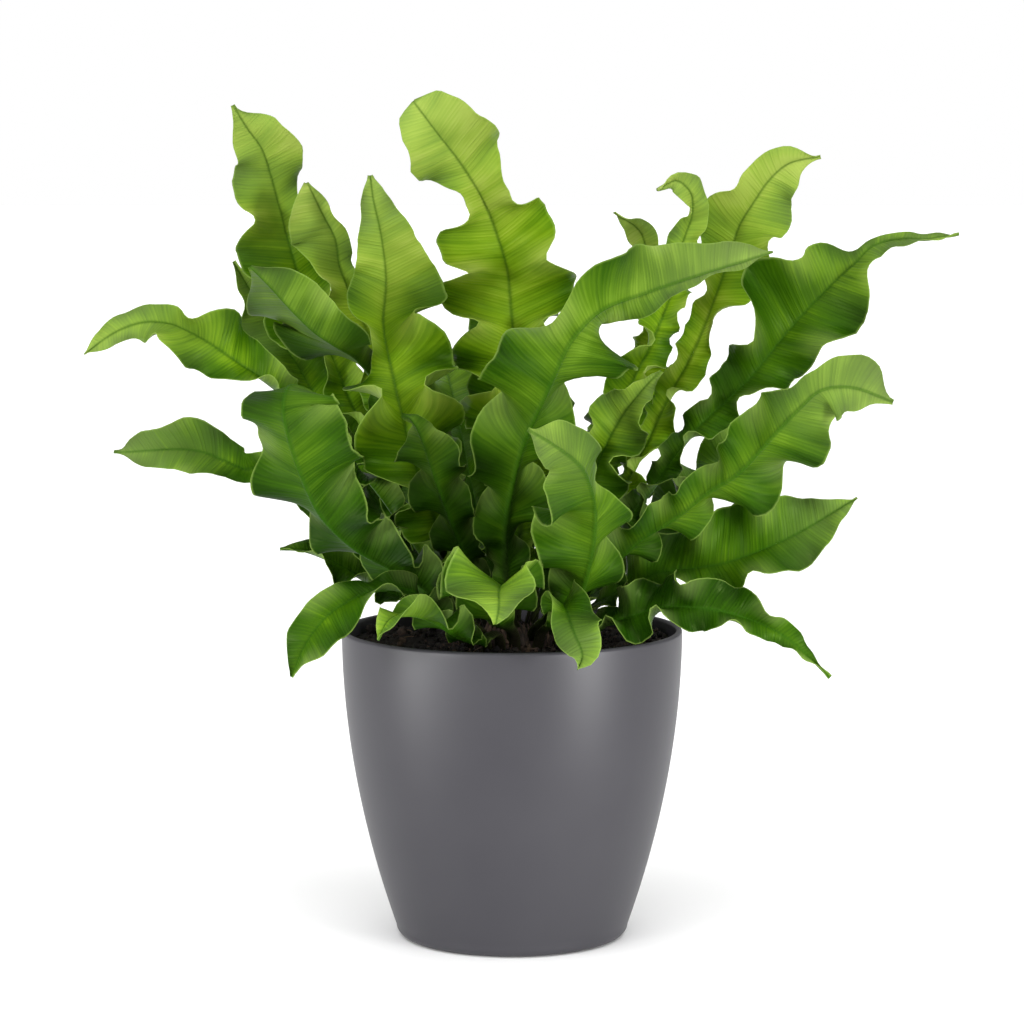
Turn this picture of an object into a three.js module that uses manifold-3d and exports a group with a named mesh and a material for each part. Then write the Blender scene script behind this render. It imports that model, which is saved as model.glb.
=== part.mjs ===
// A crisped bird's nest fern, planted in a round cover pot.
// Lengths are in millimetres and angles in degrees. +Z is up, and the origin is the centre of the pot's base.
import * as THREE from "three";
import { mergeVertices } from "three/addons/utils/BufferGeometryUtils.js";
import Module from "manifold-3d";

const wasm = await Module();
wasm.setup();

// The pot: a plain moulded cover pot, 14 cm across the rim.
const POT = {
  height: 127,
  rimRadius: 70,
  taper: 23.4,
  taperPower: 1.95,
  cornerRadius: 4,
  wall: 2.6,
  floor: 3,
  rings: 6,
};
const CORNER_ANGLES = [0, 45];
const LIP_SHARES = [0.3, 0.7];
const ROUND_SIDES = 36;

// The potting soil fills the pot to a little below its rim and rises slightly towards the crown.
const SOIL = {
  edgeHeight: 118.5,
  crownHeight: 121,
  rings: 4,
  bump: 0.8,
  bumpLength: 9,
  smoothBelow: 0.1,
  smoothRing: 1,
};

// The crown: the short rhizome that every frond grows out of, half sunk in the soil.
// It is a dome: its side stands up to the shoulder, and bends over the brow to the nearly level top.
const CROWN = {
  bottom: 98,
  footRadius: 16,
  hipRadius: 24,
  hipHeight: 106,
  shoulderHeight: 120,
  browRadius: 21.6,
  browHeight: 123,
  topRadius: 14.4,
  topHeight: 125,
  peak: 126,
  sides: 24,
};

// Pieces that touch keep this small gap, so that their faces never cross.
const SEAT_GAP = 0.35;

// Points closer together than this are one point of a solid.
const SAME_POINT = 1e-3;

// How every frond stands in the crown: the radius of its ring, and two points that its stalk passes.
const RING_RADIUS = { inner: 6, middle: 12.5, outer: 18.5 };
const ROOT_HEIGHT = 108;
const COLLAR_HEIGHT = 127;
const COLLAR_SPREAD = 1.25;

// The stalk: how far it stays plain, over what length it widens into the blade, and its half width.
const STALK_LENGTH = 24;
const PLAIN_STALK = 22;
const WIDENING = 38;
const STALK_HALF = 2.3;

// The blade: its thickness at the margin and at the midrib, and how it folds up along the midrib.
const BLADE_THICKNESS = 0.8;
const MIDRIB_THICKNESS = 1.7;
const FOLD = 24;
const PLEAT = 0.3;
const SWEEP = 0.18;
const TIP_ROUNDNESS = 0.9;
const LEAST_HALF = 0.5;

// The waves get longer towards the tip, and a second, weaker wave keeps them from being all alike.
// A wave peaks a quarter of the way through its cycle.
const WAVE_PEAK = 0.25;
const LEAST_BEND = 1e-4;
const WAVE_STRETCH = 0.6;
const SECOND_WAVE = 0.12;
const SECOND_PITCH = 2.3;

// How finely a frond is divided: points along its midrib, rings for each wave, and columns across.
const MIDRIB_STEPS = 240;
const RINGS_PER_WAVE = 3.35;
const FIRST_BLADE_RING = 2;
const RING_STRETCH = 0.7;
const COLUMNS = [-1, -0.5, 0, 0.5, 1];
const SOCKET_COLUMNS = [-1, 0, 1];

// The fronds. around is where the stalk stands in its ring, and lean is the way the frond leans out.
// tone runs from 0, an old dark frond, to 1, a young pale one. crests are where a wave of the left
// and of the right margin peaks, and tip is the share of the length over which the tip narrows.
// The next lists are spaced evenly from stalk to tip: half is the half width, or left and right
// where the two sides differ, crimp is the angle that the margin curls through, and roll is the
// turn of the blade about its midrib. path is the midrib's route.
const FRONDS = [
  {
    name: "frond_centre_tall", ring: "inner", around: 80, lean: 100, tone: 0.85,
    waves: 10.5, crests: [0.79, 0.8], tip: 0.02,
    left: [3, 5, 9, 15, 22, 23, 22, 29, 23, 14, 24, 10],
    right: [3, 5, 9, 15, 22, 28, 27, 31, 25, 8, 20, 9],
    crimp: [60, 75, 70, 45, 40, 15],
    roll: [0, 0, -5, -8, -5, 0],
    path: [[3, 16, 153], [4, 27, 210], [0, 32, 252], [-2, 30, 273], [-6, 26, 287], [-12, 19, 302],
      [-21, 10, 317], [-31, 4, 330], [-40, 2, 342]],
  },
  {
    name: "frond_centre_left", ring: "inner", around: -155, lean: 150, tone: 0.76,
    waves: 7.5, crests: [0.67, 0.675], tip: 0.03,
    left: [3, 4, 6, 9, 12, 15, 18, 22, 26, 27, 26, 18, 27, 23, 16, 8, 3],
    right: [3, 4, 6, 9, 12, 15, 18, 21, 24, 22, 8, 8, 16, 14, 11, 6, 3],
    crimp: [60, 75, 75, 50, 10, 10],
    roll: [0, -20, -45, -55, -55, -50],
    path: [[-23, -4, 155], [-35, -12, 183], [-43, -14, 210], [-49, 0, 233], [-53, 14, 251],
      [-52, 20, 269], [-54, 18, 288], [-57, 14, 303], [-58, 12, 312]],
  },
  {
    name: "frond_small_left", ring: "middle", around: 120, lean: 128, tone: 0.8,
    waves: 8, crests: [0.75, 0.8], tip: 0.04,
    left: [3, 5, 6, 8, 12, 12, 10, 6, 6, 3],
    right: [3, 5, 6, 8, 12, 15, 13, 13, 18, 14],
    crimp: [70, 80, 75, 65, 50, 20],
    roll: [0, -10, -20, -30, -35, -35],
    path: [[-19, 27, 154], [-41, 32, 206], [-60, 36, 246], [-72, 40, 273], [-74, 38, 286],
      [-79, 36, 296], [-85, 32, 309]],
  },
  {
    name: "frond_left_tall", ring: "middle", around: 150, lean: 168, tone: 0.72,
    waves: 10, crests: [0.77, 0.81], tip: 0.04,
    left: [3, 5, 8, 11, 13, 12, 10, 10, 18, 9, 19, 3],
    right: [3, 5, 8, 12, 13, 11, 10, 24, 23, 21, 13, 4],
    crimp: [70, 80, 70, 45, 45, 10],
    roll: [0, -15, -40, -60, -75, -75],
    path: [[-31, 27, 153], [-61, 48, 201], [-78, 58, 238], [-86, 61, 257], [-91, 61, 270],
      [-95, 60, 284], [-99, 57, 300], [-102, 53, 313], [-105, 48, 323], [-111, 43, 332], [-116, 38, 341]],
  },
  {
    name: "frond_left_behind", ring: "outer", around: 150, lean: 145, tone: 0.5,
    waves: 7.5, crests: [0.8, 0.75], tip: 0.2,
    half: [4, 8, 14, 16, 15, 12], crimp: [70, 80, 75, 70, 60, 30],
    roll: [0, -10, -25, -40, -50, -50],
    path: [[-39, 31, 146], [-72, 67, 196], [-96, 81, 235], [-111, 81, 259], [-120, 76, 275]],
  },
  {
    name: "frond_left_front", ring: "inner", around: 155, lean: 195, tone: 0.42,
    waves: 6.5, crests: [0.62, 0.66], tip: 0.06,
    left: [3, 5, 7, 8, 8, 7, 15, 30, 31, 15],
    right: [3, 5, 7, 8, 8, 6, 7, 14, 15, 7],
    crimp: [45, 50, 45, 60, 15, 10],
    roll: [0, 15, 30, 45, 50, 50],
    path: [[-27, 9, 153], [-40, 11, 182], [-50, 12, 208], [-56, 15, 226], [-63, 3, 237],
      [-71, -18, 244], [-79, -24, 250], [-87, -27, 258], [-96, -28, 268], [-104, -28, 276]],
  },
  {
    name: "frond_left_large", ring: "outer", around: -142, lean: 222, tone: 0.36,
    waves: 6.5, crests: [0.55, 0.6], tip: 0.05,
    left: [3, 5, 9, 14, 17, 17, 17, 22, 19, 17, 13, 8],
    right: [3, 5, 9, 14, 17, 18, 19, 25, 23, 23, 14, 8],
    crimp: [60, 60, 45, 40, 25, 10],
    roll: [0, 5, 15, 30, 40, 40],
    path: [[-35, -33, 148], [-49, -46, 158], [-62, -58, 167], [-74, -70, 181], [-81, -80, 198],
      [-85, -86, 212], [-87, -88, 223], [-86, -82, 231], [-82, -70, 231], [-76, -58, 227]],
  },
  {
    name: "frond_far_left_upper", ring: "middle", around: -175, lean: 192, tone: 0.55,
    waves: 7.5, crests: [0.8, 0.65], tip: 0.04,
    left: [3, 5, 8, 10, 10, 9, 8, 9, 18, 8, 6, 2],
    right: [3, 5, 8, 10, 10, 9, 8, 8, 12, 18, 5, 3],
    crimp: [70, 80, 75, 60, 60, 15],
    roll: [0, 0, -10, -40, -80, -100],
    path: [[-32, 1, 150], [-57, -6, 187], [-81, -18, 214], [-98, -26, 230], [-108, -30, 237],
      [-119, -32, 245], [-128, -31, 250], [-135, -30, 253], [-146, -30, 254], [-158, -28, 250],
      [-171, -24, 241]],
  },
  {
    name: "frond_far_left_lower", ring: "outer", around: -163, lean: 200, tone: 0.5,
    waves: 6, crests: [0.64, 0.62], tip: 0.05,
    left: [3, 5, 7, 8, 8, 8, 7, 5, 8, 15, 9, 1],
    right: [3, 5, 7, 8, 8, 8, 7, 5, 6, 10, 7, 1],
    crimp: [70, 80, 80, 70, 10, 10],
    roll: [0, -10, -20, -60, -100, -105],
    path: [[-36, -10, 139], [-62, -18, 163], [-83, -26, 185], [-97, -32, 197], [-106, -36, 196],
      [-113, -38, 199], [-123, -38, 203], [-133, -37, 204], [-147, -34, 203], [-159, -30, 202]],
  },
  {
    name: "frond_left_drooping", ring: "outer", around: -120, lean: 238, tone: 0.36,
    waves: 4, crests: [0.5, 0.4], tip: 0.12,
    left: [3, 5, 7, 8, 8, 7, 9, 9, 6],
    right: [3, 5, 7, 8, 8, 8, 14, 16, 12],
    crimp: [60, 75, 65, 45, 20, 10],
    roll: [0, 0, -15, -35, -40, -30],
    path: [[-29, -41, 140], [-42, -55, 150], [-55, -68, 151], [-63, -73, 148], [-71, -77, 143],
      [-79, -81, 133], [-85, -84, 120]],
  },
  {
    name: "frond_left_low", ring: "outer", around: 180, lean: 178, tone: 0.35,
    waves: 4, crests: [0.7, 0.6], tip: 0.3,
    half: [4, 9, 11, 12, 11, 8], crimp: [60, 75, 70, 60, 40, 20],
    roll: [0, 0, -15, -35, -40, -30],
    path: [[-36, 6, 134], [-56, 8, 143], [-74, 4, 154], [-86, 0, 159], [-95, -2, 160]],
  },
  {
    name: "frond_front_arching", ring: "middle", around: -90, lean: -80, tone: 0.52,
    waves: 6.5, crests: [0.63, 0.7], tip: 0.04,
    left: [3, 5, 8, 13, 19, 22, 31, 11, 19, 19, 10, 3],
    right: [3, 7, 12, 17, 19, 19, 26, 29, 14, 5, 4, 2],
    crimp: [60, 70, 60, 60, 40, 10],
    roll: [0, 0, 0, 0, 5, 10],
    path: [[-3, -30, 164], [0, -46, 189], [5, -56, 209], [11, -64, 223], [17, -69, 237],
      [23, -70, 249], [34, -66, 260], [53, -56, 267], [76, -44, 274], [103, -34, 282]],
  },
  {
    name: "frond_front_curled", ring: "middle", around: -58, lean: -58, tone: 0.5,
    waves: 5, crests: [0.6, 0.7], tip: 0.06,
    left: [3, 6, 9, 12, 20, 25, 24, 17, 9, 3],
    right: [3, 6, 10, 14, 18, 19, 10, 11, 13, 4],
    crimp: [60, 60, 45, 38, 30, 10],
    roll: [0, 0, 0, 10, 25, 35],
    path: [[25, -38, 143], [31, -58, 164], [32, -70, 182], [30, -82, 193], [26, -92, 202],
      [17, -99, 210], [6, -103, 217]],
  },
  {
    name: "frond_front_low", ring: "outer", around: -88, lean: -95, tone: 0.48,
    waves: 4.5, crests: [0.5, 0.55], tip: 0.15,
    left: [3, 8, 12, 18, 25, 23, 20, 10],
    right: [3, 8, 12, 16, 17, 17, 15, 10],
    crimp: [50, 55, 50, 42, 30, 10],
    roll: [0, 0, 0, 0, 0, 0],
    path: [[-6, -44, 137], [-5, -64, 148], [-4, -80, 155], [-5, -95, 154], [-5, -104, 150],
      [-6, -108, 144]],
  },
  {
    name: "frond_front_drooping", ring: "outer", around: -60, lean: -68, tone: 0.5,
    waves: 3.5, crests: [0.7, 0.6], tip: 0.12,
    left: [3, 7, 9, 9, 9, 8, 6],
    right: [3, 8, 14, 11, 10, 12, 9],
    crimp: [60, 70, 65, 60, 50, 20],
    roll: [0, 0, 0, 0, 0, 0],
    path: [[20, -43, 136], [20, -60, 145], [21, -74, 144], [24, -84, 137], [27, -90, 129],
      [25, -92, 124]],
  },
  {
    name: "frond_right_drooping", ring: "outer", around: -30, lean: -30, tone: 0.34,
    waves: 5.5, crests: [0.7, 0.77], tip: 0.35,
    left: [3, 13, 14, 12, 8, 6, 4],
    right: [3, 12, 13, 15, 12, 8, 4],
    crimp: [60, 70, 65, 60, 55, 15],
    roll: [0, 15, 40, 60, 60, 60],
    path: [[38, -30, 133], [64, -46, 142], [88, -55, 140], [107, -58, 132], [125, -60, 116]],
  },
  {
    name: "frond_right_low", ring: "outer", around: 0, lean: -10, tone: 0.48,
    waves: 5.5, crests: [0.68, 0.75], tip: 0.25,
    left: [3, 10, 12, 14, 14, 15, 14, 15, 14, 8],
    right: [3, 10, 12, 15, 18, 22, 22, 19, 14, 8],
    crimp: [60, 60, 50, 35, 25, 10],
    roll: [0, 20, 50, 70, 80, 90],
    path: [[36, 0, 137], [58, -8, 150], [86, -18, 156], [112, -22, 167], [139, -22, 183]],
  },
  {
    name: "frond_right_middle", ring: "middle", around: -18, lean: -32, tone: 0.53,
    waves: 8.5, crests: [0.72, 0.66], tip: 0.05,
    left: [3, 6, 9, 11, 11, 10, 10, 14, 18, 8, 15, 4],
    right: [3, 6, 9, 12, 13, 13, 15, 23, 22, 18, 10, 4],
    crimp: [70, 75, 60, 45, 35, 10],
    roll: [0, -10, -35, -60, -70, -60],
    path: [[32, -19, 146], [51, -32, 167], [64, -38, 176], [78, -46, 188], [88, -52, 195],
      [102, -58, 211], [112, -61, 222], [120, -62, 229], [132, -59, 230], [149, -54, 224]],
  },
  {
    name: "frond_right_large", ring: "middle", around: 8, lean: 8, tone: 0.54,
    waves: 9.5, crests: [0.55, 0.62], tip: 0.06,
    left: [3, 5, 7, 7, 7, 7, 8, 10, 16, 22, 21, 7, 4, 2],
    right: [3, 5, 7, 7, 7, 7, 8, 12, 18, 31, 19, 3, 3, 2],
    crimp: [75, 85, 85, 85, 80, 60, 60, 40, 20, 10, 10],
    roll: [0, 5, 20, 65, 85, 60, 30],
    path: [[28, 6, 150], [55, 9, 180], [74, 10, 206], [97, 12, 228], [106, 13, 239], [116, 14, 251],
      [125, 14, 261], [133, 14, 269], [141, 14, 276], [148, 15, 283], [160, 16, 286], [170, 17, 286],
      [184, 18, 288]],
  },
  {
    name: "frond_right_tall", ring: "middle", around: 35, lean: 40, tone: 0.86,
    waves: 8.5, crests: [0.8, 0.7], tip: 0.05,
    left: [3, 5, 8, 9, 11, 10, 9, 7, 17, 22, 12, 3],
    right: [3, 5, 8, 9, 11, 10, 9, 8, 10, 20, 11, 3],
    crimp: [75, 85, 80, 70, 40, 10],
    roll: [0, 5, 20, 40, 55, 50],
    path: [[30, 27, 149], [54, 40, 194], [68, 45, 222], [79, 46, 243], [86, 50, 261], [93, 52, 281],
      [96, 52, 291], [102, 50, 301], [108, 47, 310], [116, 44, 317], [129, 42, 320]],
  },
  {
    name: "frond_right_hooked", ring: "middle", around: 62, lean: 62, tone: 0.77,
    waves: 9.5, crests: [0.7, 0.75], tip: 0.08,
    left: [3, 5, 7, 9, 11, 12, 11, 9, 8, 7, 7, 5],
    right: [3, 5, 7, 9, 11, 12, 11, 9, 8, 7, 7, 5],
    crimp: [75, 85, 85, 80, 65, 30],
    roll: [0, 5, 20, 40, 60, 60],
    path: [[18, 28, 153], [33, 28, 188], [42, 24, 209], [51, 20, 229], [60, 22, 248], [67, 30, 265],
      [71, 36, 283], [75, 36, 296], [74, 32, 305], [68, 28, 310], [60, 24, 306]],
  },
  {
    name: "frond_small_curled", ring: "outer", around: 68, lean: 75, tone: 0.75,
    waves: 8.5, crests: [0.7, 0.75], tip: 0.1,
    left: [3, 5, 8, 10, 12, 15, 12, 8, 7, 5],
    right: [3, 5, 8, 10, 11, 9, 8, 7, 9, 5],
    crimp: [75, 85, 80, 80, 70, 40],
    roll: [0, 0, 5, 15, 20, 20],
    path: [[14, 50, 146], [31, 62, 186], [49, 66, 210], [58, 68, 233], [59, 68, 255], [58, 66, 272],
      [56, 62, 285], [52, 56, 291], [43, 50, 296]],
  },
  {
    name: "frond_centre_right", ring: "inner", around: -20, lean: 0, tone: 0.52,
    waves: 7.5, crests: [0.7, 0.75], tip: 0.3,
    half: [4, 12, 15, 16, 15, 10], crimp: [65, 80, 75, 70, 60, 20],
    roll: [0, 15, 45, 70, 80, 80],
    path: [[20, -6, 156], [32, -14, 189], [41, -18, 210], [52, -20, 226], [60, -20, 234]],
  },
  {
    name: "frond_back_left", ring: "outer", around: 96, lean: 98, tone: 0.45,
    waves: 7.5, crests: [0.7, 0.75], tip: 0.25,
    half: [4, 13, 18, 21, 20, 14], crimp: [65, 75, 70, 60, 45, 20],
    roll: [0, 0, 0, 0, 0, 0],
    path: [[-9, 48, 143], [-17, 76, 176], [-24, 104, 206], [-30, 130, 226], [-35, 152, 230]],
  },
  {
    name: "frond_back_centre", ring: "middle", around: 92, lean: 92, tone: 0.6,
    waves: 8, crests: [0.7, 0.8], tip: 0.25,
    half: [4, 9, 15, 19, 20, 14], crimp: [65, 75, 70, 60, 45, 20],
    roll: [0, 0, 0, 0, 0, 0],
    path: [[0, 34, 151], [-1, 55, 195], [0, 73, 238], [3, 92, 270], [8, 112, 286]],
  },
  {
    name: "frond_back_far_left", ring: "outer", around: 123, lean: 128, tone: 0.35,
    waves: 7, crests: [0.7, 0.75], tip: 0.25,
    half: [4, 12, 17, 20, 18, 12], crimp: [65, 75, 70, 60, 45, 20],
    roll: [0, 0, 0, 0, 0, 0],
    path: [[-32, 44, 137], [-54, 66, 160], [-73, 92, 181], [-90, 116, 190], [-103, 138, 186]],
  },
  {
    name: "frond_back_right", ring: "outer", around: 38, lean: 42, tone: 0.4,
    waves: 7, crests: [0.7, 0.8], tip: 0.25,
    half: [4, 13, 18, 20, 18, 12], crimp: [65, 75, 70, 60, 45, 20],
    roll: [0, 0, 0, 0, 0, 0],
    path: [[38, 32, 139], [62, 55, 160], [85, 79, 180], [107, 102, 192], [126, 124, 190]],
  },
  {
    name: "frond_front_left_curled", ring: "outer", around: -104, lean: -118, tone: 0.42,
    waves: 5, crests: [0.7, 0.6], tip: 0.2,
    half: [4, 7, 9, 12, 11, 7], crimp: [60, 75, 70, 60, 50, 20],
    roll: [0, 0, 0, 0, 0, 0],
    path: [[-14, -40, 127], [-22, -56, 132], [-31, -72, 140], [-40, -84, 144], [-47, -92, 143],
      [-51, -96, 136]],
  },
  {
    name: "frond_centre_front", ring: "inner", around: -75, lean: -110, tone: 0.3,
    waves: 6.5, crests: [0.75, 0.7], tip: 0.25,
    left: [4, 7, 9, 13, 16, 9],
    right: [4, 7, 9, 11, 14, 9],
    crimp: [60, 75, 70, 60, 50, 20],
    roll: [0, 0, 0, 0, 0, 0],
    path: [[-13, -14, 144], [-23, -29, 171], [-30, -42, 192], [-35, -47, 208], [-39, -47, 216],
      [-43, -43, 218]],
  },
];

const rad = THREE.MathUtils.degToRad;

// Value at s, from 0 to 1, in a list of evenly spaced values, with a smooth step between neighbours.
function station(values, s) {
  const place = s * (values.length - 1);
  const i = Math.min(Math.floor(place), values.length - 2);
  return THREE.MathUtils.lerp(values[i], values[i + 1], THREE.MathUtils.smoothstep(place - i, 0, 1));
}

// The midrib as evenly spaced points, with the way along it and the way across it at each point.
// The way across starts level and square to the lean, and is carried along without twisting.
function midribOf(frond) {
  const outwards = new THREE.Vector3(Math.cos(rad(frond.around)), Math.sin(rad(frond.around)), 0);
  const ring = RING_RADIUS[frond.ring];
  const root = outwards.clone().multiplyScalar(ring).setZ(ROOT_HEIGHT);
  const collar = outwards.clone().multiplyScalar(ring * COLLAR_SPREAD).setZ(COLLAR_HEIGHT);
  const curve = new THREE.CatmullRomCurve3([root, collar, ...frond.path.map((p) => new THREE.Vector3(...p))]);
  curve.arcLengthDivisions = 10 * MIDRIB_STEPS;
  const points = curve.getSpacedPoints(MIDRIB_STEPS);
  const across = new THREE.Vector3(-Math.sin(rad(frond.lean)), Math.cos(rad(frond.lean)), 0);
  const frames = points.map((point, i) => {
    const before = points[Math.max(i - 1, 0)];
    const after = points[Math.min(i + 1, MIDRIB_STEPS)];
    const along = after.clone().sub(before).normalize();
    across.addScaledVector(along, -across.dot(along)).normalize();
    return { point, along, across: across.clone() };
  });
  return { frames, length: curve.getLength() };
}

// The midrib's point and directions at s, from 0 at the root to 1 at the tip.
function frameAt(midrib, s) {
  const place = THREE.MathUtils.clamp(s, 0, 1) * MIDRIB_STEPS;
  const i = Math.min(Math.floor(place), MIDRIB_STEPS - 1);
  const [a, b] = [midrib.frames[i], midrib.frames[i + 1]];
  const mix = (key) => a[key].clone().lerp(b[key], place - i);
  return { point: mix("point"), along: mix("along").normalize(), across: mix("across").normalize() };
}

// A point of the blade's middle surface. u runs across it, from -1 at the left margin to 1 at the right.
// Each side of the blade is a circular arc. The crimp angle swings up and down along the margin as a
// wave: the blade leaves the midrib at the fold angle and a share of the crimp, and bends on by the rest.
function bladePoint(frond, midrib, s, u) {
  const { point, along, across } = frameAt(midrib, s);
  const roll = rad(station(frond.roll, s));
  const face = along.clone().cross(across);
  const sideways = across.clone().multiplyScalar(Math.cos(roll)).addScaledVector(face, Math.sin(roll));
  const upwards = face.multiplyScalar(Math.cos(roll)).addScaledVector(across, -Math.sin(roll));
  const opened = THREE.MathUtils.smoothstep(s * midrib.length, PLAIN_STALK, PLAIN_STALK + WIDENING);
  const towardsTip = THREE.MathUtils.clamp((1 - s) / frond.tip, 0, 1);
  const narrowing = Math.sin((Math.PI / 2) * towardsTip) ** TIP_ROUNDNESS;
  const halfWidths = frond[u < 0 ? "left" : "right"] ?? frond.half;
  const spread = THREE.MathUtils.lerp(STALK_HALF, station(halfWidths, s), opened);
  const half = Math.max(spread * narrowing, LEAST_HALF);
  const stalkShare = STALK_LENGTH / midrib.length;
  const wavePlace = (x) => THREE.MathUtils.clamp((x - stalkShare) / (1 - stalkShare), 0, 1) ** WAVE_STRETCH;
  const crest = frond.crests[u < 0 ? 0 : 1];
  const phase = 2 * Math.PI * (frond.waves * (wavePlace(s) - wavePlace(crest)) + WAVE_PEAK);
  const swing = Math.sin(phase) + SECOND_WAVE * Math.sin(SECOND_PITCH * phase);
  let bend = rad(station(frond.crimp, s)) * opened * swing;
  if (Math.abs(bend) < LEAST_BEND) bend = LEAST_BEND;
  const fold = rad(FOLD) * opened + PLEAT * bend;
  bend *= 1 - PLEAT;
  const m = Math.abs(u);
  const reach = (half * (Math.sin(fold + bend * m) - Math.sin(fold))) / bend;
  const rise = (half * (Math.cos(fold) - Math.cos(fold + bend * m))) / bend;
  return point
    .addScaledVector(sideways, Math.sign(u) * reach)
    .addScaledVector(upwards, rise)
    .addScaledVector(along, SWEEP * half * m);
}

// A thin closed solid round a grid of surface points. Its two faces lie half the thickness of each
// column to either side of the grid, and both are split into triangles in the same way.
function sheetSolid(grid, thicknesses) {
  const rows = grid.length;
  const columns = grid[0].length;
  const normalAt = (i, j) => {
    const down = grid[Math.min(i + 1, rows - 1)][j].clone().sub(grid[Math.max(i - 1, 0)][j]);
    const over = grid[i][Math.min(j + 1, columns - 1)].clone().sub(grid[i][Math.max(j - 1, 0)]);
    return down.cross(over).normalize();
  };
  const positions = [];
  for (const side of [1, -1]) {
    grid.forEach((row, i) =>
      row.forEach((p, j) => {
        const moved = p.clone().addScaledVector(normalAt(i, j), (side * thicknesses[j]) / 2);
        positions.push(moved.x, moved.y, moved.z);
      }),
    );
  }
  const front = (i, j) => i * columns + j;
  const back = (i, j) => rows * columns + i * columns + j;
  const triangles = [];
  for (let i = 0; i < rows - 1; i++) {
    for (let j = 0; j < columns - 1; j++) {
      triangles.push(front(i, j), front(i + 1, j), front(i + 1, j + 1));
      triangles.push(front(i, j), front(i + 1, j + 1), front(i, j + 1));
      triangles.push(back(i, j), back(i + 1, j + 1), back(i + 1, j));
      triangles.push(back(i, j), back(i, j + 1), back(i + 1, j + 1));
    }
    const last = columns - 1;
    triangles.push(front(i, 0), back(i + 1, 0), front(i + 1, 0));
    triangles.push(front(i, 0), back(i, 0), back(i + 1, 0));
    triangles.push(front(i, last), front(i + 1, last), back(i + 1, last));
    triangles.push(front(i, last), back(i + 1, last), back(i, last));
  }
  for (let j = 0; j < columns - 1; j++) {
    const end = rows - 1;
    triangles.push(front(0, j), back(0, j + 1), back(0, j));
    triangles.push(front(0, j), front(0, j + 1), back(0, j + 1));
    triangles.push(front(end, j), back(end, j), back(end, j + 1));
    triangles.push(front(end, j), back(end, j + 1), front(end, j + 1));
  }
  const geometry = new THREE.BufferGeometry();
  geometry.setAttribute("position", new THREE.Float32BufferAttribute(positions, 3));
  geometry.setIndex(triangles);
  return geometry;
}

// Where the rings of a frond lie: at the root, at the collar, then closer together near the stalk than
// near the tip, as the waves are.
function ringPlaces(frond, midrib) {
  const stalkShare = STALK_LENGTH / midrib.length;
  const count = Math.round(frond.waves * RINGS_PER_WAVE);
  const collarLength = Math.hypot(COLLAR_HEIGHT - ROOT_HEIGHT, RING_RADIUS[frond.ring] * (COLLAR_SPREAD - 1));
  const places = [0, collarLength / midrib.length];
  for (let k = FIRST_BLADE_RING; k <= count; k++) {
    places.push(stalkShare + (1 - stalkShare) * (k / count) ** (1 / RING_STRETCH));
  }
  return places;
}

function thicknessAt(u) {
  return u === 0 ? MIDRIB_THICKNESS : BLADE_THICKNESS;
}

function frondGeometry(frond) {
  const midrib = midribOf(frond);
  const grid = ringPlaces(frond, midrib).map((s) => COLUMNS.map((u) => bladePoint(frond, midrib, s, u)));
  return sheetSolid(grid, COLUMNS.map(thicknessAt));
}

// The plain hole that a frond's stalk stands in: the stalk's own shape, wider all round by the gap.
function socketGeometry(frond) {
  const midrib = midribOf(frond);
  const wider = 1 + SEAT_GAP / STALK_HALF;
  const grid = ringPlaces(frond, midrib)
    .slice(0, 2)
    .map((s) => SOCKET_COLUMNS.map((u) => bladePoint(frond, midrib, s, u * wider)));
  const along = frameAt(midrib, 0).along;
  grid[0].forEach((p) => p.addScaledVector(along, -SEAT_GAP));
  return sheetSolid(grid, SOCKET_COLUMNS.map((u) => thicknessAt(u) + 2 * SEAT_GAP));
}

// The pot's outer radius at a height: wide at the rim, drawn in towards the base.
function potRadius(z) {
  return POT.rimRadius - POT.taper * (1 - z / POT.height) ** POT.taperPower;
}

// A point that lies a distance inside the pot's outside, at a height.
function wallPoint(inset, z) {
  return new THREE.Vector2(potRadius(z) - inset, z);
}

// Evenly spaced heights between two heights, both of them included.
function heights(from, to, rings) {
  return Array.from({ length: rings + 1 }, (_, k) => THREE.MathUtils.lerp(from, to, k / rings));
}

// A profile turned into a round solid. A lathe turns about Y, so the solid is then stood up on Z.
function turned(profile, sides) {
  return new THREE.LatheGeometry(profile, sides).rotateX(Math.PI / 2);
}

function potGeometry() {
  const corner = POT.cornerRadius;
  const baseRadius = potRadius(corner);
  const slant = (angle) => new THREE.Vector2(
    baseRadius - corner + corner * Math.sin(rad(angle)),
    corner - corner * Math.cos(rad(angle)),
  );
  const lipRise = POT.wall / 2;
  const lipTop = POT.height - lipRise;
  const profile = [
    new THREE.Vector2(0, 0),
    ...CORNER_ANGLES.map(slant),
    ...heights(corner, lipTop, POT.rings).map((z) => wallPoint(0, z)),
    ...LIP_SHARES.map((share) => wallPoint(share * POT.wall, POT.height)),
    wallPoint(POT.wall, lipTop),
    ...heights(SOIL.edgeHeight, POT.floor, POT.rings - 1).map((z) => wallPoint(POT.wall, z)),
    new THREE.Vector2(0, POT.floor),
  ];
  return turned(profile, ROUND_SIDES);
}

// The crown's outline, from its foot to the middle of its top, grown by a margin on every side.
function crownProfile(margin) {
  return [
    new THREE.Vector2(0, CROWN.bottom - margin),
    new THREE.Vector2(CROWN.footRadius + margin, CROWN.bottom - margin),
    new THREE.Vector2(CROWN.hipRadius + margin, CROWN.hipHeight - margin),
    new THREE.Vector2(CROWN.hipRadius + margin, CROWN.shoulderHeight),
    new THREE.Vector2(CROWN.browRadius + margin, CROWN.browHeight),
    new THREE.Vector2(CROWN.topRadius + margin, CROWN.topHeight),
    new THREE.Vector2(0, CROWN.peak),
  ];
}

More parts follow.
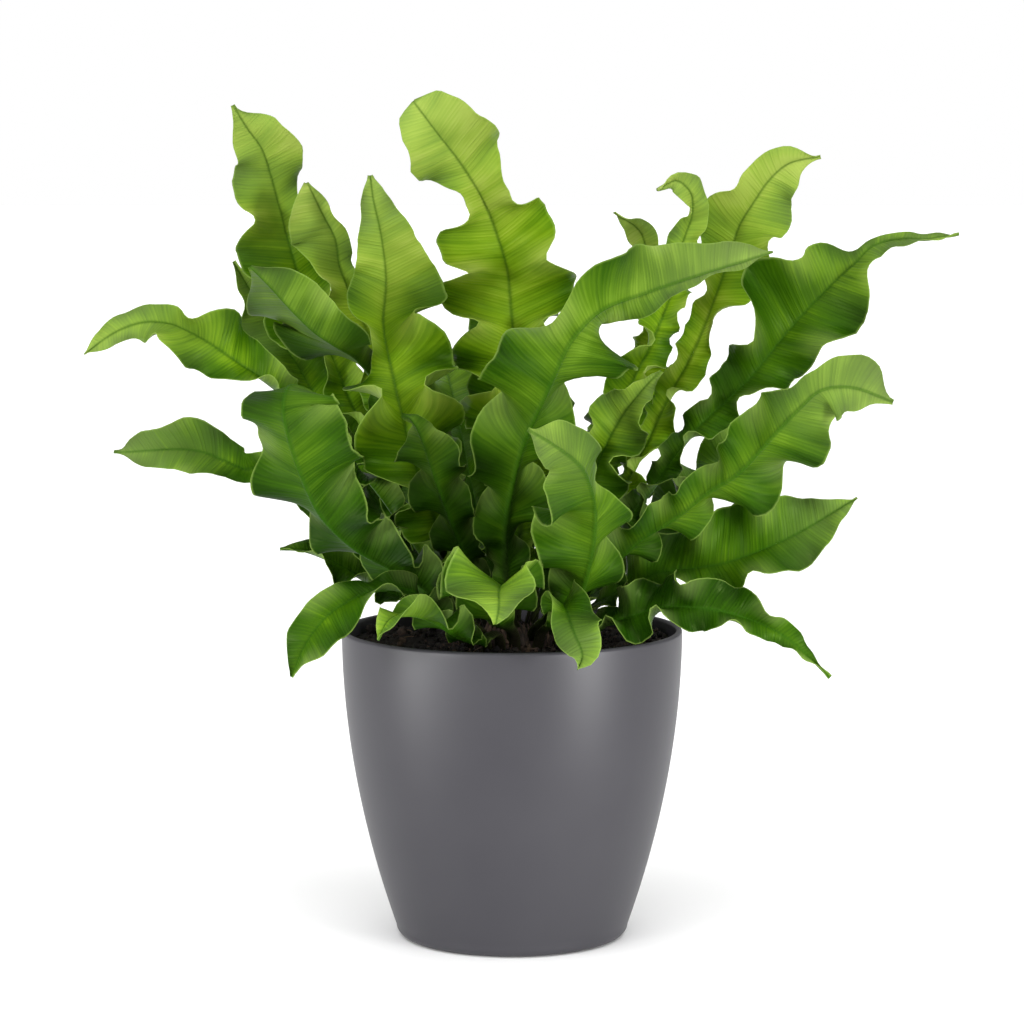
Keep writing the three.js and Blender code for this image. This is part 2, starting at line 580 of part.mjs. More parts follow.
// A closed shape as a solid that can be cut.
function solidOf(geometry) {
  const bare = new THREE.BufferGeometry();
  bare.setAttribute("position", geometry.getAttribute("position"));
  bare.setIndex(geometry.getIndex());
  const merged = mergeVertices(bare, SAME_POINT);
  return new wasm.Manifold(
    new wasm.Mesh({
      numProp: 3,
      vertProperties: merged.getAttribute("position").array,
      triVerts: new Uint32Array(merged.getIndex().array),
    }),
  );
}

function geometryOf(solid) {
  const mesh = solid.getMesh();
  const geometry = new THREE.BufferGeometry();
  geometry.setAttribute("position", new THREE.BufferAttribute(mesh.vertProperties, 3));
  geometry.setIndex(new THREE.BufferAttribute(mesh.triVerts, 1));
  return geometry;
}

function crownGeometry() {
  const body = solidOf(turned(crownProfile(0), CROWN.sides));
  const sockets = FRONDS.map((frond) => solidOf(socketGeometry(frond)));
  return geometryOf(body.subtract(wasm.Manifold.union(sockets)));
}

// The soil: it fits the pot's inside and the crown's outside, and its top is gently uneven.
function soilGeometry() {
  const inset = POT.wall + SEAT_GAP;
  const bottom = POT.floor + SEAT_GAP;
  const crown = crownProfile(SEAT_GAP).filter((p) => p.y < SOIL.crownHeight);
  const hole = crown[crown.length - 1].x;
  const edge = potRadius(SOIL.edgeHeight) - inset;
  const top = Array.from({ length: SOIL.rings - 1 }, (_, k) => {
    const share = (k + 1) / SOIL.rings;
    return new THREE.Vector2(
      THREE.MathUtils.lerp(edge, hole, share),
      THREE.MathUtils.lerp(SOIL.edgeHeight, SOIL.crownHeight, share),
    );
  });
  const profile = [
    new THREE.Vector2(0, bottom),
    wallPoint(inset, bottom),
    ...heights(POT.floor, SOIL.edgeHeight, POT.rings - 1).slice(1).map((z) => wallPoint(inset, z)),
    ...top,
    new THREE.Vector2(hole, SOIL.crownHeight),
    ...crown.reverse(),
  ];
  const geometry = turned(profile, ROUND_SIDES);
  const position = geometry.getAttribute("position");
  for (let i = 0; i < position.count; i++) {
    const [x, y, z] = [position.getX(i), position.getY(i), position.getZ(i)];
    const radius = Math.hypot(x, y);
    if (z < SOIL.edgeHeight - SOIL.smoothBelow || radius < hole + SOIL.smoothRing) continue;
    const bump = Math.sin(x / SOIL.bumpLength + 1) * Math.cos(y / SOIL.bumpLength);
    position.setZ(i, z + SOIL.bump * bump);
  }
  return geometry;
}

// Colours from the photograph. A frond's green lies between the old one and the young one by its tone.
const OLD_GREEN = new THREE.Color(0x2f6a1c);
const YOUNG_GREEN = new THREE.Color(0x9cc437);
const BARK_BROWN = new THREE.Color(0x2c2015);
const PEAT_BROWN = new THREE.Color(0x33241a);
const ANTHRACITE = new THREE.Color(0x5b5c62);
const ROUGHNESS = { frond: 0.5, crown: 0.9, soil: 1, pot: 0.45 };

function piece(name, geometry, color, roughness) {
  const material = new THREE.MeshStandardMaterial({ color, roughness, metalness: 0 });
  const mesh = new THREE.Mesh(geometry, material);
  mesh.name = name;
  return mesh;
}

const plant = new THREE.Group();
for (const frond of FRONDS) {
  const green = OLD_GREEN.clone().lerp(YOUNG_GREEN, frond.tone);
  plant.add(piece(frond.name, frondGeometry(frond), green, ROUGHNESS.frond));
}
plant.add(piece("crown", crownGeometry(), BARK_BROWN, ROUGHNESS.crown));

const pottedFern = new THREE.Group();
pottedFern.add(piece("pot", potGeometry(), ANTHRACITE, ROUGHNESS.pot));
pottedFern.add(piece("potting_soil", soilGeometry(), PEAT_BROWN, ROUGHNESS.soil));
pottedFern.add(plant);

export default pottedFern;
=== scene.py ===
"""A crisped bird's nest fern in a satin cover pot, dressed for a studio photograph."""

import math

import bpy
import numpy as np
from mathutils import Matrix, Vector


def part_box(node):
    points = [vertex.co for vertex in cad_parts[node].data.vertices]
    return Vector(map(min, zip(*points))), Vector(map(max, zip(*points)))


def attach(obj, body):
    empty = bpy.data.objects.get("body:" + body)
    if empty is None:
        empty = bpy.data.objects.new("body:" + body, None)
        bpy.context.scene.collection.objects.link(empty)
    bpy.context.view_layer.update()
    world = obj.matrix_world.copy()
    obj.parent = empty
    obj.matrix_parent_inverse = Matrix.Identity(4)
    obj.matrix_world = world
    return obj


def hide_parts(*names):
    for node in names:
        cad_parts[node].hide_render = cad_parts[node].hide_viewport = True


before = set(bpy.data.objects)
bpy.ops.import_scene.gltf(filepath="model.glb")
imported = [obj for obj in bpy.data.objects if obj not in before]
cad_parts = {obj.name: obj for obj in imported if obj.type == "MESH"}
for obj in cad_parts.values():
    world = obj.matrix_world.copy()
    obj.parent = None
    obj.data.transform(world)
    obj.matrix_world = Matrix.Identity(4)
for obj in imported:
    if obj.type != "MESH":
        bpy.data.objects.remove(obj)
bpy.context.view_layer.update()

MM = 0.001
TAU = 2 * math.pi


def corners_mm(node):
    """A CAD node's lowest and highest corners, in millimetres."""
    return [np.array(corner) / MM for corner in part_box(node)]


# Sizes are in millimetres unless a line says otherwise, and each seed starts its own random draws.

# The pot. Its rim and height come from its CAD node in model.glb. Its wall draws in by the taper towards the
# base.
RIM_RADIUS, _, POT_HEIGHT = corners_mm("pot")[1]
POT_TAPER = 23.4
POT_TAPER_POWER = 1.95
POT_CORNER = 4.0
POT_WALL = 2.6
POT_FLOOR = 3.0
POT_SIDES = 224
POT_CORNER_RINGS = 9
POT_OUTSIDE_RINGS = 60
POT_LIP_RINGS = 13
POT_INSIDE_RINGS = 24

# The soil: its top rises a little from the wall to the crown, and stays clear of the pot by small gaps.
SOIL_RADIUS = corners_mm("potting_soil")[1][0]
SOIL_EDGE = 118.5
SOIL_CENTRE = 121.0
SOIL_SHOULDER = 1.5
SOIL_WALL_GAP = 0.25
SOIL_FLOOR_GAP = 0.35
SOIL_SIDES = 300
SOIL_WALL_RINGS = 14
SOIL_TOP_RINGS = 90

# Heaps of soil against the rim: where each lies, how far it spreads, and how high it rises. Swells and
# grit make the rest uneven.
SOIL_HEAPS = [(-48, 22, 22, 3.5), (52, 20, 16, 4)]
SOIL_SWELL_HEIGHT = 0.8
SOIL_SWELLS = dict(count=14, shortest=6, longest=22, seed=3)
SOIL_GRIT_HEIGHT = 0.35
SOIL_GRIT = dict(count=20, shortest=1.5, longest=4, seed=5)

# Peat crumbs. Their radii follow a gamma distribution within limits, and each is dented, squashed and
# lifted off the soil by shares of its radius.
CRUMBS = 1500
CRUMB_SEED = 29
CRUMB_INNER = 20
CRUMB_WALL_GAP = 2
CRUMB_GAMMA = (2.2, 0.42)
CRUMB_RADII = (0.35, 3.0)
CRUMB_DENTS = (0.7, 1.25)
CRUMB_SQUASH = (0.55, 1)
CRUMB_LIFTS = (0, 0.5)
CRUMB_SHADE_POWER = 1.5

# Root fibres and coir on the soil. Each is a shallow arc whose bow is four times its rise, as a share of its
# length. Its tilt spreads by so many radians, and its bluntness leaves a little width at its ends.
FIBRES = 110
FIBRE_SEED = 31
FIBRE_INNER = 22
FIBRE_WALL_GAP = 6
FIBRE_LENGTHS = (3, 9)
FIBRE_HALF_WIDTHS = (0.12, 0.3)
FIBRE_BOWS = (-0.1, 0.5)
FIBRE_TILT = 0.18
FIBRE_LIFT = 0.7
FIBRE_SHADES = (0.5, 1)
FIBRE_SIDES = 4
FIBRE_SEGMENTS = 6
FIBRE_BLUNTNESS = 1.02

# The crown, a lumpy dome half sunk in the soil.
CROWN_LOW, CROWN_HIGH = corners_mm("crown")
CROWN_FOOT = 108.0
CROWN_RADIUS = CROWN_HIGH[0] - 1
CROWN_FLANK = 0.7
CROWN_SHOULDER = 0.8
CROWN_SIDES = 96
CROWN_RINGS = 30
CROWN_LAST_RING = 0.985
LUMP_HEIGHT = 0.5
LUMPS = dict(count=16, shortest=2.5, longest=8, seed=7)

# The crown's papery scales. Their places are shares of the way up the dome, and each lifts off it by a
# share of its length. Its outline is a stretch of a sine, so that its foot is blunt. Its way up is found
# by a small step up the dome.
SCALES = 420
SCALE_SEED = 37
SCALE_PLACES = (0.12, 0.97)
SCALE_LENGTHS = (3, 7)
SCALE_HALF_WIDTHS = (0.9, 1.9)
SCALE_LIFTS = (0.15, 0.7)
SCALE_LIFT_POWER = 1.6
SCALE_FOLD = 0.35
SCALE_STAND = 0.4
SCALE_HALF_THICKNESS = 0.08
SCALE_FOOT = 0.12
SCALE_STRETCH = 0.86
SCALE_OUTLINE_POWER = 0.8
SCALE_ROWS = 5
SCALE_COLUMNS = 3
SCALE_UP_STEP = 0.02

# How every frond stands in the crown: the radius of its ring, and two points that its stalk passes.
RING_RADIUS = dict(inner=6.0, middle=12.5, outer=18.5)
ROOT_HEIGHT = 108.0
COLLAR_HEIGHT = 127.0
COLLAR_SPREAD = 1.25

# The stalk: its length before the first wave, how far it stays plain, over what length it widens into
# the blade, and its half width and thickness. STALK_EDGE is what is left of its thickness at its sides,
# as a share and squared.
STALK_LENGTH = 24.0
PLAIN_STALK = 22.0
WIDENING = 38.0
STALK_HALF = 2.3
STALK_THICKNESS = 2.6
STALK_EDGE = 0.03

# The blade: its thickness, and how it folds up along the midrib, softly over a share of the midrib's half
# width. The pleat is the share of each wave's bend that the fold takes, the sweep is how far the margin
# runs ahead, in half widths, and the least bend keeps the arc's formula from dividing by nothing.
BLADE_THICKNESS = 0.5
MARGIN_THICKNESS = 0.28
FOLD = math.radians(24)
FOLD_SOFTNESS = 0.5
PLEAT = 0.3
SWEEP = 0.18
TIP_ROUNDNESS = 0.9
LEAST_HALF = 0.5
LEAST_BEND = 1e-4

# The midrib: a ridge below and a groove above. Both get narrower and lower towards the tip, to these
# shares of their width and height.
RIB_HALF = 1.5
RIB_RIDGE = 1.1
RIB_GROOVE = 0.35
RIB_TIP_WIDTH = 0.35
RIB_TIP_HEIGHT = 0.3

# The waves get longer towards the tip, and a second, weaker wave keeps them from being all alike. A low
# ruffle runs along the margin, and is higher where the margin curls through the angles of CURL_RANGE.
WAVE_STRETCH = 0.6
SECOND_WAVE = 0.12
SECOND_PITCH = 2.3
RUFFLE_HEIGHT = 0.9
CURL_HEIGHT = 1.3
CURL_RANGE = (50, 85)
RUFFLE_PITCH = 2.7

# Small unevenness, as sums of sines. Each sine of nicks in the margin has a height and a pitch along it,
# and each sine of puckers in the blade a height and its pitches along and across. The puckers fade
# towards the midrib and the margin.
BLADE_SEED = 11
NICK_SHARE = 0.02
NICKS = [(0.5, 2.3), (0.35, 0.9)]
PUCKERS = [(0.5, 1.7, 6), (0.5, 2.9, -4), (0.8, 5.3, 9)]
PUCKER_END = 1.15

# Each frond's flat map starts this much further along, in metres, so that no two look alike.
FLAT_MAP_STEP = 0.37

# How finely a frond is divided. The columns nearest the midrib share out its own band, and the others
# crowd towards the margin.
MIDRIB_STEPS = 240
ROW_STEP = 1.55
ROW_STRETCH = 0.8
RIB_COLUMNS = 4
RIB_BAND = 1.6
RIB_BAND_MOST = 0.7
SIDE_COLUMNS = 13
MARGIN_CROWDING = 1.15

# The fronds, as they stand in the pot. around is where the stalk stands in its ring, and lean is the
# way the frond leans out, in degrees. tone runs from 0, an old dark frond, to 1, a young pale one.
# crests are where a wave of the left and of the right margin peaks, and tip is the share of the length
# over which the tip narrows. The next lists are spaced evenly from stalk to tip: half is the half width,
# or left and right where the two sides differ, crimp is the angle that the margin curls through, and
# roll is how far the blade turns about its midrib, if it does. path is the midrib's route.
FRONDS = [
    dict(name="frond_centre_tall", ring="inner", around=80, lean=100, tone=0.89,
         waves=10.5, crests=[0.79, 0.8], tip=0.02,
         left=[3, 5, 9, 15, 22, 23, 22, 29, 23, 14, 24, 10],
         right=[3, 5, 9, 15, 22, 28, 27, 31, 25, 8, 20, 9],
         crimp=[60, 75, 70, 45, 40, 15],
         roll=[0, 0, -5, -8, -5, 0],
         path=[[3, 16, 153], [4, 27, 210], [0, 32, 252], [-2, 30, 273], [-6, 26, 287], [-12, 19, 302],
               [-21, 10, 317], [-31, 4, 330], [-40, 2, 342]]),
    dict(name="frond_centre_left", ring="inner", around=-155, lean=150, tone=0.76,
         waves=7.5, crests=[0.67, 0.675], tip=0.03,
         left=[3, 4, 6, 9, 12, 15, 18, 22, 26, 27, 26, 18, 27, 23, 16, 8, 3],
         right=[3, 4, 6, 9, 12, 15, 18, 21, 24, 22, 8, 8, 16, 14, 11, 6, 3],
         crimp=[60, 75, 75, 50, 10, 10],
         roll=[0, -20, -45, -55, -55, -50],
         path=[[-23, -4, 155], [-35, -12, 183], [-43, -14, 210], [-49, 0, 233], [-53, 14, 251],
               [-52, 20, 269], [-54, 18, 288], [-57, 14, 303], [-58, 12, 312]]),
    dict(name="frond_small_left", ring="middle", around=120, lean=128, tone=0.8,
         waves=8, crests=[0.75, 0.8], tip=0.04,
         left=[3, 5, 6, 8, 12, 12, 10, 6, 6, 3],
         right=[3, 5, 6, 8, 12, 15, 13, 13, 18, 14],
         crimp=[70, 80, 75, 65, 50, 20],
         roll=[0, -10, -20, -30, -35, -35],
         path=[[-19, 27, 154], [-41, 32, 206], [-60, 36, 246], [-72, 40, 273], [-74, 38, 286],
               [-79, 36, 296], [-85, 32, 309]]),
    dict(name="frond_left_tall", ring="middle", around=150, lean=168, tone=0.72,
         waves=10, crests=[0.77, 0.81], tip=0.04,
         left=[3, 5, 8, 11, 13, 12, 10, 10, 18, 9, 19, 3],
         right=[3, 5, 8, 12, 13, 11, 10, 24, 23, 21, 13, 4],
         crimp=[70, 80, 70, 45, 45, 10],
         roll=[0, -15, -40, -60, -75, -75],
         path=[[-31, 27, 153], [-61, 48, 201], [-78, 58, 238], [-86, 61, 257], [-91, 61, 270],
               [-95, 60, 284], [-99, 57, 300], [-102, 53, 313], [-105, 48, 323], [-111, 43, 332],
               [-116, 38, 341]]),
    dict(name="frond_left_behind", ring="outer", around=150, lean=145, tone=0.5,
         waves=7.5, crests=[0.8, 0.75], tip=0.2,
         half=[4, 8, 14, 16, 15, 12], crimp=[70, 80, 75, 70, 60, 30],
         roll=[0, -10, -25, -40, -50, -50],
         path=[[-39, 31, 146], [-72, 67, 196], [-96, 81, 235], [-111, 81, 259], [-120, 76, 275]]),
    dict(name="frond_left_front", ring="inner", around=155, lean=195, tone=0.42,
         waves=6.5, crests=[0.62, 0.66], tip=0.06,
         left=[3, 5, 7, 8, 8, 7, 15, 30, 31, 15],
         right=[3, 5, 7, 8, 8, 6, 7, 14, 15, 7],
         crimp=[45, 50, 45, 60, 15, 10],
         roll=[0, 15, 30, 45, 50, 50],
         path=[[-27, 9, 153], [-40, 11, 182], [-50, 12, 208], [-56, 15, 226], [-63, 3, 237],
               [-71, -18, 244], [-79, -24, 250], [-87, -27, 258], [-96, -28, 268], [-104, -28, 276]]),
    dict(name="frond_left_large", ring="outer", around=-142, lean=222, tone=0.36,
         waves=6.5, crests=[0.55, 0.6], tip=0.05,
         left=[3, 5, 9, 14, 17, 17, 17, 22, 19, 17, 13, 8],
         right=[3, 5, 9, 14, 17, 18, 19, 25, 23, 23, 14, 8],
         crimp=[60, 60, 45, 40, 25, 10],
         roll=[0, 5, 15, 30, 40, 40],
         path=[[-35, -33, 148], [-49, -46, 158], [-62, -58, 167], [-74, -70, 181], [-81, -80, 198],
               [-85, -86, 212], [-87, -88, 223], [-86, -82, 231], [-82, -70, 231], [-76, -58, 227]]),
    dict(name="frond_far_left_upper", ring="middle", around=-175, lean=192, tone=0.55,
         waves=7.5, crests=[0.8, 0.65], tip=0.04,
         left=[3, 5, 8, 10, 10, 9, 8, 9, 18, 8, 6, 2],
         right=[3, 5, 8, 10, 10, 9, 8, 8, 12, 18, 5, 3],
         crimp=[70, 80, 75, 60, 60, 15],
         roll=[0, 0, -10, -40, -80, -100],
         path=[[-32, 1, 150], [-57, -6, 187], [-81, -18, 214], [-98, -26, 230], [-108, -30, 237],
               [-119, -32, 245], [-128, -31, 250], [-135, -30, 253], [-146, -30, 254],
               [-158, -28, 250], [-171, -24, 241]]),
    dict(name="frond_far_left_lower", ring="outer", around=-163, lean=200, tone=0.5,
         waves=6, crests=[0.64, 0.62], tip=0.05,
         left=[3, 5, 7, 8, 8, 8, 7, 5, 8, 15, 9, 1],
         right=[3, 5, 7, 8, 8, 8, 7, 5, 6, 10, 7, 1],
         crimp=[70, 80, 80, 70, 10, 10],
         roll=[0, -10, -20, -60, -100, -105],
         path=[[-36, -10, 139], [-62, -18, 163], [-83, -26, 185], [-97, -32, 197], [-106, -36, 196],
               [-113, -38, 199], [-123, -38, 203], [-133, -37, 204], [-147, -34, 203], [-159, -30, 202]]),
    dict(name="frond_left_drooping", ring="outer", around=-120, lean=238, tone=0.3,
         waves=4, crests=[0.5, 0.4], tip=0.12,
         left=[3, 5, 7, 8, 8, 7, 9, 9, 6],
         right=[3, 5, 7, 8, 8, 8, 14, 16, 12],
         crimp=[60, 75, 65, 45, 20, 10],
         roll=[0, 0, -15, -35, -40, -30],
         path=[[-29, -41, 140], [-42, -55, 150], [-55, -68, 151], [-63, -73, 148], [-71, -77, 143],
               [-79, -81, 133], [-85, -84, 120]]),
    dict(name="frond_left_low", ring="outer", around=180, lean=178, tone=0.35,
         waves=4, crests=[0.7, 0.6], tip=0.3,
         half=[4, 9, 11, 12, 11, 8], crimp=[60, 75, 70, 60, 40, 20],
         roll=[0, 0, -15, -35, -40, -30],
         path=[[-36, 6, 134], [-56, 8, 143], [-74, 4, 154], [-86, 0, 159], [-95, -2, 160]]),
    dict(name="frond_front_arching", ring="middle", around=-90, lean=-80, tone=0.54,
         waves=6.5, crests=[0.63, 0.7], tip=0.04,
         left=[3, 5, 8, 13, 19, 22, 31, 11, 19, 19, 10, 3],
         right=[3, 7, 12, 17, 19, 19, 26, 29, 14, 5, 4, 2],
         crimp=[60, 70, 60, 60, 40, 10],
         roll=[0, 0, 0, 0, 5, 10],
         path=[[-3, -30, 164], [0, -46, 189], [5, -56, 209], [11, -64, 223], [17, -69, 237],
               [23, -70, 249], [34, -66, 260], [53, -56, 267], [76, -44, 274], [103, -34, 282]]),
    dict(name="frond_front_curled", ring="middle", around=-58, lean=-58, tone=0.5,
         waves=5, crests=[0.6, 0.7], tip=0.06,
         left=[3, 6, 9, 12, 20, 25, 24, 17, 9, 3],
         right=[3, 6, 10, 14, 18, 19, 10, 11, 13, 4],
         crimp=[60, 60, 45, 38, 30, 10],
         roll=[0, 0, 0, 10, 25, 35],
         path=[[25, -38, 143], [31, -58, 164], [32, -70, 182], [30, -82, 193], [26, -92, 202],
               [17, -99, 210], [6, -103, 217]]),
    dict(name="frond_front_low", ring="outer", around=-88, lean=-95, tone=0.48,
         waves=4.5, crests=[0.5, 0.55], tip=0.15,
         left=[3, 8, 12, 18, 25, 23, 20, 10],
         right=[3, 8, 12, 16, 17, 17, 15, 10],
         crimp=[50, 55, 50, 42, 30, 10],
         path=[[-6, -44, 137], [-5, -64, 148], [-4, -80, 155], [-5, -95, 154], [-5, -104, 150],
               [-6, -108, 144]]),
    dict(name="frond_front_drooping", ring="outer", around=-60, lean=-68, tone=0.5,
         waves=3.5, crests=[0.7, 0.6], tip=0.12,
         left=[3, 7, 9, 9, 9, 8, 6],
         right=[3, 8, 14, 11, 10, 12, 9],
         crimp=[60, 70, 65, 60, 50, 20],
         path=[[20, -43, 136], [20, -60, 145], [21, -74, 144], [24, -84, 137], [27, -90, 129],
               [25, -92, 124]]),
    dict(name="frond_right_drooping", ring="outer", around=-30, lean=-30, tone=0.34,
         waves=5.5, crests=[0.7, 0.77], tip=0.35,
         left=[3, 13, 14, 12, 8, 6, 4],
         right=[3, 12, 13, 15, 12, 8, 4],
         crimp=[60, 70, 65, 60, 55, 15],
         roll=[0, 15, 40, 60, 60, 60],
         path=[[38, -30, 133], [64, -46, 142], [88, -55, 140], [107, -58, 132], [125, -60, 116]]),
    dict(name="frond_right_low", ring="outer", around=0, lean=-10, tone=0.48,
         waves=5.5, crests=[0.68, 0.75], tip=0.25,
         left=[3, 10, 12, 14, 14, 15, 14, 15, 14, 8],
         right=[3, 10, 12, 15, 18, 22, 22, 19, 14, 8],
         crimp=[60, 60, 50, 35, 25, 10],
         roll=[0, 20, 50, 70, 80, 90],
         path=[[36, 0, 137], [58, -8, 150], [86, -18, 156], [112, -22, 167], [139, -22, 183]]),
    dict(name="frond_right_middle", ring="middle", around=-18, lean=-32, tone=0.53,
         waves=8.5, crests=[0.72, 0.66], tip=0.05,
         left=[3, 6, 9, 11, 11, 10, 10, 14, 18, 8, 15, 4],
         right=[3, 6, 9, 12, 13, 13, 15, 23, 22, 18, 10, 4],
         crimp=[70, 75, 60, 45, 35, 10],
         roll=[0, -10, -35, -60, -70, -60],
         path=[[32, -19, 146], [51, -32, 167], [64, -38, 176], [78, -46, 188], [88, -52, 195],
               [102, -58, 211], [112, -61, 222], [120, -62, 229], [132, -59, 230], [149, -54, 224]]),
    dict(name="frond_right_large", ring="middle", around=8, lean=8, tone=0.49,
         waves=9.5, crests=[0.55, 0.62], tip=0.06,
         left=[3, 5, 7, 7, 7, 7, 8, 10, 16, 22, 21, 7, 4, 2],
         right=[3, 5, 7, 7, 7, 7, 8, 12, 18, 31, 19, 3, 3, 2],
         crimp=[75, 85, 85, 85, 80, 60, 60, 40, 20, 10, 10],
         roll=[0, 5, 20, 65, 85, 60, 30],
         path=[[28, 6, 150], [55, 9, 180], [74, 10, 206], [97, 12, 228], [106, 13, 239],
               [116, 14, 251], [125, 14, 261], [133, 14, 269], [141, 14, 276], [148, 15, 283],
               [160, 16, 286], [170, 17, 286], [184, 18, 288]]),
    dict(name="frond_right_tall", ring="middle", around=35, lean=40, tone=0.86,
         waves=8.5, crests=[0.8, 0.7], tip=0.05,
         left=[3, 5, 8, 9, 11, 10, 9, 7, 17, 22, 12, 3],
         right=[3, 5, 8, 9, 11, 10, 9, 8, 10, 20, 11, 3],
         crimp=[75, 85, 80, 70, 40, 10],
         roll=[0, 5, 20, 40, 55, 50],
         path=[[30, 27, 149], [54, 40, 194], [68, 45, 222], [79, 46, 243], [86, 50, 261],
               [93, 52, 281], [96, 52, 291], [102, 50, 301], [108, 47, 310], [116, 44, 317],
               [129, 42, 320]]),
    dict(name="frond_right_hooked", ring="middle", around=62, lean=62, tone=0.77,
         waves=9.5, crests=[0.7, 0.75], tip=0.08,
         left=[3, 5, 7, 9, 11, 12, 11, 9, 8, 7, 7, 5],
         right=[3, 5, 7, 9, 11, 12, 11, 9, 8, 7, 7, 5],
         crimp=[75, 85, 85, 80, 65, 30],
         roll=[0, 5, 20, 40, 60, 60],
         path=[[18, 28, 153], [33, 28, 188], [42, 24, 209], [51, 20, 229], [60, 22, 248],
               [67, 30, 265], [71, 36, 283], [75, 36, 296], [74, 32, 305], [68, 28, 310], [60, 24, 306]]),
    dict(name="frond_small_curled", ring="outer", around=68, lean=75, tone=0.75,
         waves=8.5, crests=[0.7, 0.75], tip=0.1,
         left=[3, 5, 8, 10, 12, 15, 12, 8, 7, 5],
         right=[3, 5, 8, 10, 11, 9, 8, 7, 9, 5],
         crimp=[75, 85, 80, 80, 70, 40],
         roll=[0, 0, 5, 15, 20, 20],
         path=[[14, 50, 146], [31, 62, 186], [49, 66, 210], [58, 68, 233], [59, 68, 255],
               [58, 66, 272], [56, 62, 285], [52, 56, 291], [43, 50, 296]]),
    dict(name="frond_centre_right", ring="inner", around=-20, lean=0, tone=0.52,
         waves=7.5, crests=[0.7, 0.75], tip=0.3,
         half=[4, 12, 15, 16, 15, 10], crimp=[65, 80, 75, 70, 60, 20],
         roll=[0, 15, 45, 70, 80, 80],
         path=[[20, -6, 156], [32, -14, 189], [41, -18, 210], [52, -20, 226], [60, -20, 234]]),
    dict(name="frond_back_left", ring="outer", around=96, lean=98, tone=0.45,
         waves=7.5, crests=[0.7, 0.75], tip=0.25,
         half=[4, 13, 18, 21, 20, 14], crimp=[65, 75, 70, 60, 45, 20],
         path=[[-9, 48, 143], [-17, 76, 176], [-24, 104, 206], [-30, 130, 226], [-35, 152, 230]]),
    dict(name="frond_back_centre", ring="middle", around=92, lean=92, tone=0.6,
         waves=8, crests=[0.7, 0.8], tip=0.25,
         half=[4, 9, 15, 19, 20, 14], crimp=[65, 75, 70, 60, 45, 20],
         path=[[0, 34, 151], [-1, 55, 195], [0, 73, 238], [3, 92, 270], [8, 112, 286]]),
    dict(name="frond_back_far_left", ring="outer", around=123, lean=128, tone=0.35,
         waves=7, crests=[0.7, 0.75], tip=0.25,
         half=[4, 12, 17, 20, 18, 12], crimp=[65, 75, 70, 60, 45, 20],
         path=[[-32, 44, 137], [-54, 66, 160], [-73, 92, 181], [-90, 116, 190], [-103, 138, 186]]),
    dict(name="frond_back_right", ring="outer", around=38, lean=42, tone=0.4,
         waves=7, crests=[0.7, 0.8], tip=0.25,
         half=[4, 13, 18, 20, 18, 12], crimp=[65, 75, 70, 60, 45, 20],
         path=[[38, 32, 139], [62, 55, 160], [85, 79, 180], [107, 102, 192], [126, 124, 190]]),
    dict(name="frond_front_left_curled", ring="outer", around=-104, lean=-118, tone=0.42,
         waves=5, crests=[0.7, 0.6], tip=0.2,
         half=[4, 7, 9, 12, 11, 7], crimp=[60, 75, 70, 60, 50, 20],
         path=[[-14, -40, 127], [-22, -56, 132], [-31, -72, 140], [-40, -84, 144], [-47, -92, 143],
               [-51, -96, 136]]),
    dict(name="frond_centre_front", ring="inner", around=-75, lean=-110, tone=0.3,
         waves=6.5, crests=[0.75, 0.7], tip=0.25,
         left=[4, 7, 9, 13, 16, 9],
         right=[4, 7, 9, 11, 14, 9],
         crimp=[60, 75, 70, 60, 50, 20],
         path=[[-13, -14, 144], [-23, -29, 171], [-30, -42, 192], [-35, -47, 208], [-39, -47, 216],
               [-43, -43, 218]]),
]
NO_ROLL = [0, 0]

# Colours are linear. The leaf's run from old to young.
LEAF_GREENS = [(0.0, (0.008, 0.034, 0.001)), (0.25, (0.021, 0.072, 0.0015)), (0.45, (0.043, 0.116, 0.0018)),
               (0.6, (0.098, 0.205, 0.004)), (0.75, (0.165, 0.29, 0.008)), (0.9, (0.25, 0.37, 0.022)),
               (1.0, (0.325, 0.43, 0.05))]
UNDERSIDE_GREENS = [(0.0, (0.008, 0.032, 0.001)), (0.25, (0.026, 0.080, 0.002)), (0.5, (0.085, 0.170, 0.008)),
                    (0.75, (0.200, 0.320, 0.040)), (1.0, (0.36, 0.46, 0.12))]
# The pale green of young tips, also used for the painted sheen on the crests.
PALE_TIP_AND_SHEEN = (0.37, 0.45, 0.16)
RIB_DARK = (0.020, 0.080, 0.003)
MARGIN_PALE = (0.27, 0.40, 0.08)
STALK_DARK = (0.012, 0.008, 0.007)
LEAF_GLOW = (0.36, 0.56, 0.02)
SKIN_SHEEN = (0.62, 0.90, 0.25)
POT_GREYS = [(0.35, (0.030, 0.029, 0.034)), (0.65, (0.035, 0.034, 0.039))]
PEAT_BROWNS = [(0.0, (0.003, 0.002, 0.0015)), (0.5, (0.009, 0.006, 0.004)), (1.0, (0.04, 0.024, 0.014))]
COIR_BROWNS = [(0.0, (0.014, 0.009, 0.006)), (1.0, (0.08, 0.05, 0.028))]
BARK_BROWNS = [(0.0, (0.008, 0.006, 0.004)), (0.6, (0.03, 0.018, 0.01)), (1.0, (0.08, 0.05, 0.028))]
FLOOR_WHITES = [(0.3, (0.93, 0.93, 0.93)), (0.7, (0.95, 0.95, 0.95))]

# The leaf's veins: how far they climb for each step outwards, their pitch, and how they wander.
VEIN_CLIMB = 0.2
VEIN_PITCH = 1.4
VEIN_WANDER = 9.0
VEIN_RIDGES = 0.12

